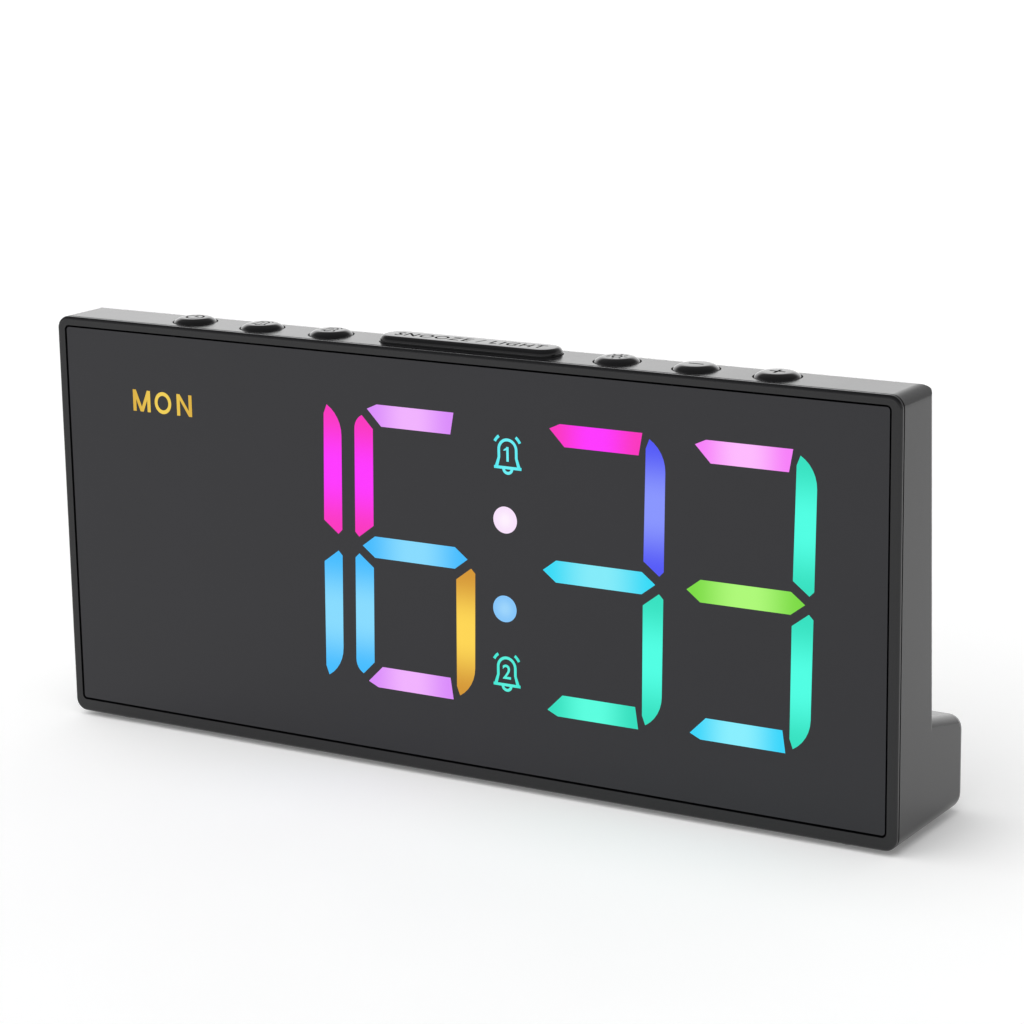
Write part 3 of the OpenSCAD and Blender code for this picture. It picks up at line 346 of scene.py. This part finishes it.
# brass of the springs and contacts: a muted gold
spring_brass = rolled_metal("Spring brass, rolled", "a98440", "cfab62", (0.2, 0.32))
print("metals:", nickel_steel.name, cell_steel.name, spring_brass.name)

# %% [markdown]
# ## Ribbon cable
# A flat cable joins two of the boards. Its wires lie side by side in vinyl and show as soft ribs. The ribs
# could be modelled, but the cable is hidden inside, so a wave pattern with the pitch of the wires gives the
# relief, and the same wave paints shade: the vinyl is darker in the grooves and paler on the ribs.

# %% Ribbon cable
WIRE_MM = 1.27
# length in which a wave of scale one repeats
WAVE_LENGTH = 0.314
RIB_MM = 0.2


def ribbon_vinyl(name):
    """Flat cable: parallel wires show as soft ribs in grey vinyl, with painted shade in the grooves."""
    material, tree, shader = start_material(name, Roughness=0.42, IOR=1.53)
    place = add_node(tree, "ShaderNodeTexCoord").outputs["Object"]
    ribs = add_node(tree, "ShaderNodeTexWave", {"Scale": WAVE_LENGTH / (WIRE_MM * MM), "Distortion": 0.0},
                    {"Vector": place}, wave_type="BANDS", bands_direction="X")
    # painted shade: the vinyl is darker in the grooves between the wires and paler on the ribs
    tone = add_node(tree, "ShaderNodeMix", {MIX_FIRST: linear("8d8d8b"), MIX_SECOND: linear("bdbdba")},
                    {MIX_FACTOR: ribs.outputs["Fac"]}, data_type="RGBA")
    bump = add_node(tree, "ShaderNodeBump", {"Strength": 0.7, "Distance": RIB_MM * MM},
                    {"Height": ribs.outputs["Fac"]})
    tree.links.new(tone.outputs[MIX_RESULT], shader.inputs["Base Color"])
    tree.links.new(bump.outputs[0], shader.inputs["Normal"])
    return material


ribbon_grey = ribbon_vinyl("Grey vinyl, ribbed ribbon")
print("made", ribbon_grey.name)

# %% [markdown]
# ## Finishes on the solids
# A solid that already has its true shape only needs its material. The finishes could be set piece by piece,
# but a table shows at a glance which finish each group has, and a loop puts it on the piece's own slot.

# %% Dress the solids
KEYS = ["time", "alarm_1", "alarm_2", "light", "minus", "plus"]
DIGITS = ["hour_tens", "hour_units", "minute_tens", "minute_units"]
finishes = {
    housing_abs: ["front_frame", "rear_housing", "battery_cap"],
    panel_abs: ["display_panel", "colon_dots"] + [d + "_segments" for d in DIGITS],
    key_abs: ["snooze_bar"] + [k + "_button" for k in KEYS],
    foot_rubber: ["rubber_feet"],
    reflector_abs: ["light_box"],
    lamp_resin: ["segment_leds"],
    board_mask: ["display_board", "key_board", "main_board"],
    chip_resin: ["driver_chip", "clock_chip", "pin_header", "buzzer", "key_switches", "snooze_plungers"]
                + [k + "_plunger" for k in KEYS],
    nickel_steel: ["display_screws", "housing_screws", "key_screws", "main_screws", "quartz_crystal",
                   "power_inlet"],
    cell_steel: ["coin_cell"],
    spring_brass: ["cell_spring", "cell_clip"],
    ribbon_grey: ["key_ribbon"],
    lead_vinyl: ["battery_leads"],
}
for material, names in finishes.items():
    for name in names:
        nodes[name].data.materials.clear()
        nodes[name].data.materials.append(material)
print("dressed", sum(len(names) for names in finishes.values()), "of", len(nodes), "solids")

# %% [markdown]
# ## Working on a copy of a solid
# A loaded solid is never changed. Where a piece needs more than its finish, the solid's mesh is copied into a
# new object, and its loose triangles are merged, so that edit-mode tools can work on it.

# %% Helpers for copies
# points closer than this are one point
MERGE = 0.001 * MM


def pick(*pieces):
    """Deselects everything, then selects these pieces, the first one active."""
    bpy.ops.object.select_all(action="DESELECT")
    for piece in pieces:
        piece.select_set(True)
    bpy.context.view_layer.objects.active = pieces[0]


def copy_of(node, name):
    """A new piece with the merged mesh of a solid."""
    piece = bpy.data.objects.new(name, nodes[node].data.copy())
    bpy.context.collection.objects.link(piece)
    pick(piece)
    bpy.ops.mesh.customdata_custom_splitnormals_clear()
    bpy.ops.object.mode_set(mode="EDIT")
    bpy.ops.mesh.select_all(action="SELECT")
    bpy.ops.mesh.remove_doubles(threshold=MERGE)
    bpy.ops.object.mode_set(mode="OBJECT")
    return piece


def middle(piece):
    """Middle of a piece's box, from its own vertices."""
    points = [v.co for v in piece.data.vertices]
    low = Vector([min(p[i] for p in points) for i in range(3)])
    high = Vector([max(p[i] for p in points) for i in range(3)])
    return (low + high) / 2


def fit_out(piece, body, slot, *replaced):
    """Says which body a finished piece rides on, and hides the solids that it stands for. The slot is not used.
    """
    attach(piece, body)
    if replaced:
        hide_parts(*replaced)


print("points merge below", MERGE / MM, "mm")

# %% [markdown]
# ## Lit windows
# Behind each window sits a small lamp, so a lit window is palest over the lamp and deeper in colour at its
# ends. The glow could be an area lamp behind a translucent window, but that is slow and noisy. Here the window
# itself gives off light: the distance from its middle, read from Object coordinates, mixes two colours. The
# window's gloss adds a little white of its own, so that share is taken off the colour first.

# %% Glow finish
GLOSS_SHARE = 0.05
SIDEWAYS = 0.35
FADE_FROM = 0.1
FADE_TO = 0.95


def glow(code):
    """Linear light of a window's colour, without the share that its gloss reflects."""
    return [max(c - GLOSS_SHARE, 0.0) for c in linear(code)[:3]] + [1.0]


def lit_window(name, colours, centre, half_length, across):
    """A window with colours[0] over its lamp and colours[1] at its ends, across being its short axis."""
    material, tree, shader = start_material(name, Roughness=0.25, IOR=1.49, Emission_Strength=1.0)
    shader.inputs["Base Color"].default_value = linear("0a0a0b")
    place = add_node(tree, "ShaderNodeTexCoord").outputs["Object"]
    size = [1 / half_length] * 3
    size[1] = 0.0
    size[across] = SIDEWAYS / half_length
    shift = [-c * s for c, s in zip(centre, size)]
    moved = add_node(tree, "ShaderNodeMapping", {"Location": shift, "Scale": size}, {"Vector": place})
    reach = add_node(tree, "ShaderNodeVectorMath", wires={0: moved.outputs[0]}, operation="LENGTH")
    fade = add_node(tree, "ShaderNodeMapRange", {"From Min": FADE_FROM, "From Max": FADE_TO},
                    {"Value": reach.outputs["Value"]}, interpolation_type="SMOOTHSTEP")
    tone = add_node(tree, "ShaderNodeMix", {MIX_FIRST: glow(colours[0]), MIX_SECOND: glow(colours[1])},
                    {MIX_FACTOR: fade.outputs[0]}, data_type="RGBA")
    tree.links.new(tone.outputs[MIX_RESULT], shader.inputs["Emission Color"])
    return material


print("gloss share:", GLOSS_SHARE)

# %% [markdown]
# ## What the display shows
# A digit has seven windows with their usual letters: a on top, then clockwise b to f, and g in the middle. Two
# tables hold the readout: the colours, each over the lamp and at the ends, and the lit letters of each
# digit. A window's letter could be written down for each solid, but its place tells it too.

# %% Readout
COLOURS = {
    "magenta": ("ff3cff", "fb2cc0"), "sky": ("8adcff", "4cbeff"), "violet": ("f2b4ff", "dc90fc"),
    "gold": ("ffd75a", "d69a30"), "indigo": ("8c98ff", "5a5ff8"), "cyan": ("86ecfa", "34dcf8"),
    "teal": ("56ffe4", "28e2c2"), "aqua": ("60ffe0", "2ee0c0"), "pink": ("ffbcff", "f884fa"),
    "green": ("b0fa7c", "80dc4c"), "ice": ("8cf0ff", "44d8fc"),
}
READOUT = {
    "hour_tens": {"b": "magenta", "c": "sky"},
    "hour_units": {"a": "violet", "f": "magenta", "g": "sky", "e": "sky", "c": "gold", "d": "violet"},
    "minute_tens": {"a": "magenta", "b": "indigo", "g": "cyan", "c": "teal", "d": "aqua"},
    "minute_units": {"a": "pink", "b": "teal", "g": "green", "c": "teal", "d": "ice"},
}
# heights of a window's middle, as shares of half the digit's height
MIDDLE_BELOW = 0.15
ENDS_ABOVE = 0.75


def window_letter(offset, half_height):
    """Letter of a window from its middle's offset from the digit's middle."""
    height = offset.z / half_height
    if abs(height) < MIDDLE_BELOW:
        return "g"
    if abs(height) > ENDS_ABOVE:
        return "a" if height > 0 else "d"
    if offset.x > 0:
        return "b" if height > 0 else "c"
    return "f" if height > 0 else "e"


print("windows to light:", sum(len(lit) for lit in READOUT.values()))

# %% [markdown]
# ## Windows of the digits
# On the clock, each window is a smoked plug in the panel. Each digit's solid holds seven of them, so a copy is
# separated into its loose parts, and each part gets its name and its finish. Windows that aren't lit have the
# panel's own finish, so the dark display hides them.

# %% Windows of the four digits
lit_count = 0
for digit in DIGITS:
    low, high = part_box(digit + "_segments")
    pick(copy_of(digit + "_segments", digit))
    bpy.ops.mesh.separate(type="LOOSE")
    for window in list(bpy.context.selected_objects):
        centre = middle(window)
        letter = window_letter(centre - (low + high) / 2, (high.z - low.z) / 2)
        window.name = digit + "_window_" + letter
        shade = READOUT[digit].get(letter)
        window.data.materials.clear()
        if shade:
            across = 2 if letter in "adg" else 0
            material = lit_window("Smoked window, lit " + shade + " " + window.name, COLOURS[shade], centre,
                                  max(window.dimensions) / 2, across)
            window.data.materials.append(material)
            lit_count += 1
        else:
            window.data.materials.append(panel_abs)
        fit_out(window, "clock", "segment_lens", digit + "_segments")
print("lit windows:", lit_count)

# %% [markdown]
# ## Colon
# Two round windows between the digits blink with the seconds. They are separated and lit as the others are,
# each with its own pale colours, and their height tells the lower from the upper.

# %% Colon dots
DOTS = {"colon_dot_lower": ("9fd6fd", "8ac8fb"), "colon_dot_upper": ("fff2ff", "fae4fd")}
pick(copy_of("colon_dots", "colon_dot"))
bpy.ops.mesh.separate(type="LOOSE")
dots = sorted(bpy.context.selected_objects, key=lambda dot: middle(dot).z)
for dot, (name, colours) in zip(dots, DOTS.items()):
    dot.name = name
    dot.data.materials.clear()
    dot.data.materials.append(lit_window("Smoked window, lit " + name, colours, middle(dot),
                                         dot.dimensions.x / 2, 1))
    fit_out(dot, "clock", "segment_lens", "colon_dots")
print("dots:", [dot.name for dot in dots])

# %% [markdown]
# ## Flat rings
# The signs are drawn flat, from three kinds of parts: a ring or a piece of one, a bar, and lettering. The same
# parts serve twice: as thin films on the panel, and, drawn taller, as cutters that engrave the keys. A ring
# could be a curve with a bevel, but here it starts as a filled circle that is inset by the stroke and loses
# its middle. Where only an arc is wanted, two bisect cuts take the rest away.


# %% Flat ring
def flat_ring(radius, stroke, place=(0, 0), arc=None, corners=64):
    """Ring in the XY plane, filled if it has no stroke. An arc keeps the part between two angles."""
    bpy.ops.mesh.primitive_circle_add(vertices=corners, radius=radius * MM, fill_type="NGON")
    ring = bpy.context.object
    bpy.ops.object.mode_set(mode="EDIT")
    bpy.ops.mesh.select_mode(type="FACE")
    bpy.ops.mesh.select_all(action="SELECT")
    if stroke:
        bpy.ops.mesh.inset(thickness=stroke * MM)
        bpy.ops.mesh.delete(type="FACE")
    for angle, side in zip(arc or (), (1, -1)):
        turn = math.radians(angle)
        bpy.ops.mesh.select_all(action="SELECT")
        bpy.ops.mesh.bisect(plane_co=(0, 0, 0), clear_outer=True, threshold=MERGE,
                            plane_no=(side * math.sin(turn), -side * math.cos(turn), 0))
    bpy.ops.object.mode_set(mode="OBJECT")
    ring.location = (place[0] * MM, place[1] * MM, 0)
    bpy.ops.object.transform_apply()
    return ring


print("rings are drawn in mm, arcs in degrees")

# %% [markdown]
# ## Flat bars
# Straight strokes are bars. A slanted stroke, as in a capital N, keeps level ends, so a turned bar won't do.
# Instead the bar's upper edge is picked by its place and shifted sideways in edit mode.


# %% Flat bar
def select_edges(piece, test):
    """Goes into edit mode and selects the edges whose ends both pass a test of their place."""
    pick(piece)
    bpy.ops.object.mode_set(mode="EDIT")
    bpy.ops.mesh.select_mode(type="EDGE")
    bpy.ops.mesh.select_all(action="DESELECT")
    bpy.ops.object.mode_set(mode="OBJECT")
    points = piece.data.vertices
    for edge in piece.data.edges:
        edge.select = all(test(points[i].co) for i in edge.vertices)
    bpy.ops.object.mode_set(mode="EDIT")


def flat_bar(length, width, place=(0, 0), angle=0, slant=0):
    """Bar in the XY plane, turned by an angle, its upper edge shifted sideways by a slant."""
    bpy.ops.mesh.primitive_plane_add(size=1)
    bar = bpy.context.object
    bar.scale = (length * MM, width * MM, 1)
    bpy.ops.object.transform_apply()
    select_edges(bar, lambda point: point.y > 0)
    bpy.ops.transform.translate(value=(slant * MM, 0, 0))
    bpy.ops.object.mode_set(mode="OBJECT")
    bar.rotation_euler = (0, 0, math.radians(angle))
    bar.location = ((place[0] - slant / 2) * MM, place[1] * MM, 0)
    bpy.ops.object.transform_apply()
    return bar


print("bars are drawn in mm")

# %% [markdown]
# ## Flat lettering and joined parts
# Words and numbers are text objects that become meshes at once, so that they can be placed by their own
# middle. Parts of one sign are joined. Where they cross, two faces in one plane would confuse a Boolean, so
# each part lies a hair higher than the last.

# %% Flat letters
# height of a capital for a font size of one
CAPITAL = 0.69
HAIR_MM = 0.003


def flat_letters(words, height, place=(0, 0), spacing=1.0, weight=0.0):
    """Lettering in the XY plane, centred on its place."""
    bpy.ops.object.text_add()
    letters = bpy.context.object
    letters.data.body = words
    letters.data.align_x = "CENTER"
    letters.data.align_y = "CENTER"
    letters.data.space_character = spacing
    letters.data.size = height * MM / CAPITAL
    letters.data.offset = weight * MM
    bpy.ops.object.convert(target="MESH")
    centre = middle(letters)
    letters.location = (place[0] * MM - centre.x, place[1] * MM - centre.y, 0)
    bpy.ops.object.transform_apply()
    return letters


def joined(*parts):
    """Joins flat parts into one, each a hair higher than the last."""
    for count, part in enumerate(parts):
        part.location.z = count * HAIR_MM * MM
    pick(*parts)
    bpy.ops.object.join()
    return parts[0]


print("a capital is", CAPITAL, "of the font size")

# %% [markdown]
# ## The alarm bell
# A bell's outline is one stroke: a half ring for the dome, straight sides, and a flare to the rim. The half
# ring's two open ends are extruded downwards twice, and the second time they are spread apart. A bar closes
# the rim, a half ring hangs below as the clapper, and two short arcs show the ringing. One drawing with a size
# serves both the panel and the keys. The font's one is a bare stem at this size, so it gets a small flag.

# %% Flat bell
BELL_STROKE = 0.55
DOME_R = 2.15
SIDE_DROPS = (1.5, 1.8)
FLARE = 1.3
RIM_LENGTH, RIM_Y = 5.9, -3.4
CLAPPER_R, CLAPPER_Y = 1.2, -3.5
RINGING_R = 3.35
RINGING_ARCS = ((28, 54), (126, 152))
NUMBER_HEIGHT, NUMBER_Y = 2.7, -0.84
NUMBER_WEIGHT = 0.05
FLAG_LENGTH, FLAG_WIDTH = 0.5, 0.45
FLAG_X, FLAG_Y = -0.45, 0.05


def flat_bell(number, size=1.0):
    """Bell with a number in it, its dome's centre at the origin of the XY plane."""
    stroke = BELL_STROKE * size
    dome = flat_ring(DOME_R * size, stroke, arc=(0, 180))
    select_edges(dome, lambda point: abs(point.y) < 0.01 * MM)
    for drop in SIDE_DROPS:
        bpy.ops.mesh.extrude_region_move(TRANSFORM_OT_translate={"value": (0, -drop * size * MM, 0)})
    bpy.ops.transform.resize(value=(FLARE, 1, 1), center_override=(0, 0, 0))
    bpy.ops.object.mode_set(mode="OBJECT")
    rim = flat_bar(RIM_LENGTH * size, stroke, (0, RIM_Y * size))
    clapper = flat_ring(CLAPPER_R * size, stroke, (0, CLAPPER_Y * size), (180, 360), 32)
    rings = [flat_ring(RINGING_R * size, stroke, arc=arc) for arc in RINGING_ARCS]
    digit = flat_letters(number, NUMBER_HEIGHT * size, (0, NUMBER_Y * size), weight=NUMBER_WEIGHT * size)
    if number == "1":
        flag = flat_bar(FLAG_LENGTH * size, FLAG_WIDTH * size, (FLAG_X * size, FLAG_Y * size),
                        slant=FLAG_LENGTH * size)
        digit = joined(digit, flag)
    return joined(dome, rim, clapper, digit, *rings)


print("bell stroke in mm:", BELL_STROKE)

# %% [markdown]
# ## Bells on the panel
# The two alarm bells show as lit signs in the dark panel. On the clock they are printed openings in a mask. An
# opening that fine isn't worth a cut, so they are thin films on the panel's face: each flat sign gets a height
# of a few hundredths of a millimetre and is stood up against the panel.

# %% Signs with bells
FILM_MM = 0.04
SUNK_MM = 0.01
panel_low, panel_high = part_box("display_panel")
PANEL_FACE = panel_low.y
WINDOW_Z = (panel_low.z + panel_high.z) / 2


def thicken(piece, height):
    """Gives a flat piece a height upwards, with clean outward faces."""
    pick(piece)
    bpy.ops.object.mode_set(mode="EDIT")
    bpy.ops.mesh.select_all(action="SELECT")
    bpy.ops.mesh.remove_doubles(threshold=MERGE)
    bpy.ops.mesh.normals_make_consistent(inside=False)
    bpy.ops.mesh.extrude_region_move(TRANSFORM_OT_translate={"value": (0, 0, height * MM)})
    bpy.ops.mesh.select_all(action="SELECT")
    bpy.ops.mesh.normals_make_consistent(inside=False)
    bpy.ops.object.mode_set(mode="OBJECT")


def panel_sign(flat, name, x, z, colours, half):
    """Stands a flat sign on the panel, x and z in mm from the window's middle."""
    thicken(flat, FILM_MM)
    flat.name = name
    flat.rotation_euler = (math.radians(90), 0, 0)
    flat.location = (x * MM, PANEL_FACE + SUNK_MM * MM, WINDOW_Z + z * MM)
    bpy.ops.object.transform_apply()
    flat.data.materials.clear()
    flat.data.materials.append(lit_window("Lit sign, " + name, colours, middle(flat), half * MM, 2))
    fit_out(flat, "clock", "segment_lens")
    return flat


panel_sign(flat_bell("1"), "alarm_1_sign", 13.07, 23.54, ("74f4fa", "56e8f0"), 4)
panel_sign(flat_bell("2"), "alarm_2_sign", 12.12, -18.31, ("62f5e2", "46e6d2"), 4)
print("panel face at y in mm:", round(PANEL_FACE / MM, 2))

# %% [markdown]
# ## Weekday on the panel
# The weekday stands in slim capitals with strokes of one width. Blender's own font is heavier and wider than
# that, so the letters are drawn: a slightly narrowed ring for the O, and bars for the M and the N, each given
# by the place of its top and of its foot.

# %% Weekday
STEM_MM = 0.75
CAPITAL_MM = 4.3
O_RADIUS, O_WIDTH = 2.2, 0.92
M_STROKES = [(-7.0, -7.0), (-3.5, -3.5), (-7.0, -5.25), (-3.5, -5.25)]
N_STROKES = [(3.8, 3.8), (6.7, 6.7), (3.8, 6.7)]

letter_o = flat_ring(O_RADIUS, STEM_MM)
letter_o.scale.x = O_WIDTH
bpy.ops.object.transform_apply()
strokes = [flat_bar(STEM_MM, CAPITAL_MM, ((top + foot) / 2, 0), slant=top - foot)
           for top, foot in M_STROKES + N_STROKES]
weekday = panel_sign(joined(letter_o, *strokes), "weekday_sign", -66.3, 25.1, ("f2d05c", "deb44c"), 7.5)
print("weekday width in mm:", round(weekday.dimensions.x / MM, 1))

# %% [markdown]
# ## Engraving
# Each key carries a sign sunk into its top, as a mould insert would leave it. A bump in the material would
# look flat from the side, so the sign is cut: it is drawn flat, thickened into a cutter and taken away from a
# copy of the key with a Boolean. The engraved faces keep the cutter's matt finish, so the sign stays dark
# while the polished top mirrors the bright backdrop.

# %% Engraving
ENGRAVED_MM = 0.22
SMOOTH_UP_TO = math.radians(30)
# eroded insert: matt, so it mirrors nothing
engraved_abs = moulded_plastic("Black ABS, eroded mark", "030303", "060606", (0.75, 0.85), 0.3, 0.004)


def engrave(piece, flat, lean=0, depth=ENGRAVED_MM, finish=engraved_abs):
    """Sinks a flat sign into the middle of a face, which leans back from the top by an angle."""
    turn = Matrix.Rotation(math.radians(-lean), 3, "X")
    normal = turn @ Vector((0, 0, 1))
    centre = middle(piece)
    reach = max((v.co - centre).dot(normal) for v in piece.data.vertices)
    thicken(flat, 2 * depth)
    flat.rotation_euler = turn.to_euler()
    flat.location = centre + normal * (reach - depth * MM)
    bpy.ops.object.transform_apply()
    flat.data.materials.clear()
    flat.data.materials.append(finish)
    pick(piece)
    cut = piece.modifiers.new("engrave", "BOOLEAN")
    cut.object = flat
    cut.operation = "DIFFERENCE"
    cut.solver = "EXACT"
    cut.use_self = True
    cut.material_mode = "TRANSFER"
    bpy.ops.object.modifier_apply(modifier=cut.name)
    bpy.data.objects.remove(flat)
    bpy.ops.object.shade_smooth_by_angle(angle=SMOOTH_UP_TO)


print("engraving depth in mm:", ENGRAVED_MM)

# %% [markdown]
# ## Round keys
# Six keys set the clock: time, two alarms, brightness, minus and plus. Their signs are the plain ones that such
# keys have, built from the rings and bars above, which is quicker than outlines and keeps the strokes
# even. Each sign is centred and then sunk into a copy of its key.

# %% Signs of the round keys
KEY_BELL = 0.56
RAYS, RAY_R = 8, 1.72
SIGN_LENGTH, SIGN_STROKE = 3.0, 0.55


def clock_sign():
    """Clock face with two hands."""
    return joined(flat_ring(1.9, 0.42), flat_bar(0.4, 1.3, (0, 0.45)), flat_bar(1.0, 0.4, (0.4, 0)))


def sun_sign():
    """Disc outline with rays."""
    turns = [i * 2 * math.pi / RAYS for i in range(RAYS)]
    rays = [flat_bar(0.75, 0.36, (RAY_R * math.cos(a), RAY_R * math.sin(a)), math.degrees(a)) for a in turns]
    return joined(flat_ring(1.05, 0.4), *rays)


def minus_sign():
    """One level stroke."""
    return flat_bar(SIGN_LENGTH, SIGN_STROKE)


signs = {
    "time": clock_sign,
    "alarm_1": lambda: flat_bell("1", KEY_BELL),
    "alarm_2": lambda: flat_bell("2", KEY_BELL),
    "light": sun_sign,
    "minus": minus_sign,
    "plus": lambda: joined(minus_sign(), flat_bar(SIGN_STROKE, SIGN_LENGTH)),
}
for key, draw in signs.items():
    button = copy_of(key + "_button", key + "_key_cap")
    sign = draw()
    sign.location = -middle(sign)
    pick(sign)
    bpy.ops.object.transform_apply()
    engrave(button, sign)
    fit_out(button, key + "_key", "key_plastic", key + "_button")
print("engraved", len(signs), "round keys")

# %% [markdown]
# ## Snooze bar
# The long key says what it does: it silences the alarm for a while and lights the display. Its words are
# sunk as the signs are. They could be printed on, but raised or sunk letters don't wear off under a hand.

# %% Lettering of the snooze bar
WORDS_MM = 2.6
bar = copy_of("snooze_bar", "snooze_bar_cap")
words = flat_letters("SNOOZE / LIGHT", WORDS_MM, spacing=1.15, weight=0.05)
print("lettering width in mm:", round(words.dimensions.x / MM, 1))
engrave(bar, words)
fit_out(bar, "snooze_key", "key_plastic", "snooze_bar")

# %% [markdown]
# ## Screws on the back
# The four screws that hold the shells together sit in bores. Their heads get a cross recess, which in the
# factory is punched into the blank. Two flat bars make the cross, and the engraving cut sinks it, here in the
# plated steel's own finish and into a face that looks straight back.

# %% Cross recesses
RECESS_MM = 0.9
CROSS_LENGTH, CROSS_WIDTH = 2.9, 0.65
STRAIGHT_BACK = 90
pick(copy_of("housing_screws", "housing_screw"))
bpy.ops.mesh.separate(type="LOOSE")
screws = sorted(bpy.context.selected_objects, key=lambda piece: (middle(piece).z, middle(piece).x))
for count, screw in enumerate(screws, 1):
    screw.name = "housing_screw_" + str(count)
    cross = joined(flat_bar(CROSS_LENGTH, CROSS_WIDTH), flat_bar(CROSS_WIDTH, CROSS_LENGTH))
    engrave(screw, cross, STRAIGHT_BACK, RECESS_MM, nickel_steel)
    fit_out(screw, "clock", "steel", "housing_screws")
print("screws with a cross recess:", len(screws))

# %% [markdown]
# ## Battery cap
# The cap over the backup cell opens with a coin and a short turn, and an arrow shows which way: an arc of a
# ring with a triangle at its end, turned so that it stays clear of the coin slot. The back leans a little, so
# the arrow's cutter leans with it.

# %% Arrow on the cap
BACK_LEAN = 87.9
ARROW_R = 8.6
ARROW_ARC = (290, 360)
ARROW_STROKE = 0.6
ARROW_HEAD = 1.2
ARROW_TURN = -55
cap = copy_of("battery_cap", "battery_cap_marked")
arrow = joined(flat_ring(ARROW_R, ARROW_STROKE, arc=ARROW_ARC),
               flat_ring(ARROW_HEAD, 0, (ARROW_R - ARROW_STROKE / 2, ARROW_STROKE), corners=3))
arrow.rotation_euler.z = math.radians(ARROW_TURN)
bpy.ops.object.transform_apply()
engrave(cap, arrow, BACK_LEAN)
fit_out(cap, "cap", "housing_plastic", "battery_cap")
print("cap marked, faces:", len(cap.data.polygons))

# %% [markdown]
# ## Power inlet
# The inlet's shell is drawn steel, but its tongue is moulded round the contacts from black resin. The tongue
# could be a solid of its own. Here it is part of the shell's solid, so on a copy its faces are picked by their
# place and get the resin.

# %% Tongue
TONGUE_X, TONGUE_Z = 3.5, 0.4
inlet = copy_of("power_inlet", "power_inlet_shell")
centre = middle(inlet)
inlet.data.materials.append(chip_resin)
for face in inlet.data.polygons:
    corners = [inlet.data.vertices[i].co - centre for i in face.vertices]
    if all(abs(c.x) < TONGUE_X * MM and abs(c.z) < TONGUE_Z * MM for c in corners):
        face.material_index = 1
bpy.ops.object.shade_smooth_by_angle(angle=SMOOTH_UP_TO)
fit_out(inlet, "clock", "steel", "power_inlet")
print("tongue faces:", sum(face.material_index for face in inlet.data.polygons))

# %% [markdown]
# ## Contacts of the inlet
# The contacts are stamped brass strips on both sides of the tongue. Twenty-four could be placed in a loop, but
# one strip with a bevel, an array and a mirror stays easy to change until the modifiers are applied. The
# mirror doesn't merge, because the two rows lie closer together than its limit.

# %% Contacts
CONTACTS = 12
PITCH_MM = 0.5
STRIP_MM = (0.28, 4.2, 0.08)
STRIP_Y, STRIP_Z = 0.3, 0.36
WORN_MM = 0.02
bpy.ops.mesh.primitive_cube_add(size=1)
contacts = bpy.context.object
contacts.name = "inlet_contacts"
contacts.scale = [side * MM for side in STRIP_MM]
contacts.location = (-PITCH_MM * (CONTACTS - 1) / 2 * MM, STRIP_Y * MM, STRIP_Z * MM)
bpy.ops.object.transform_apply()
contacts.data.materials.append(spring_brass)
bevel = contacts.modifiers.new("worn edges", "BEVEL")
bevel.width = WORN_MM * MM
row = contacts.modifiers.new("row", "ARRAY")
row.count = CONTACTS
row.use_relative_offset = False
row.use_constant_offset = True
row.constant_offset_displace = (PITCH_MM * MM, 0, 0)
under = contacts.modifiers.new("underside", "MIRROR")
under.use_axis = (False, False, True)
under.use_mirror_merge = False
for step in (bevel.name, row.name, under.name):
    bpy.ops.object.modifier_apply(modifier=step)
contacts.location = centre
bpy.ops.object.transform_apply()
fit_out(contacts, "clock", "contact_brass")
print("contacts:", 2 * CONTACTS, "at", [round(c / MM, 1) for c in middle(contacts)])

# %% [markdown]
# ## End
# A dressed model must not outgrow the solids that it stands for.

# %% The end
print("end of the scene")
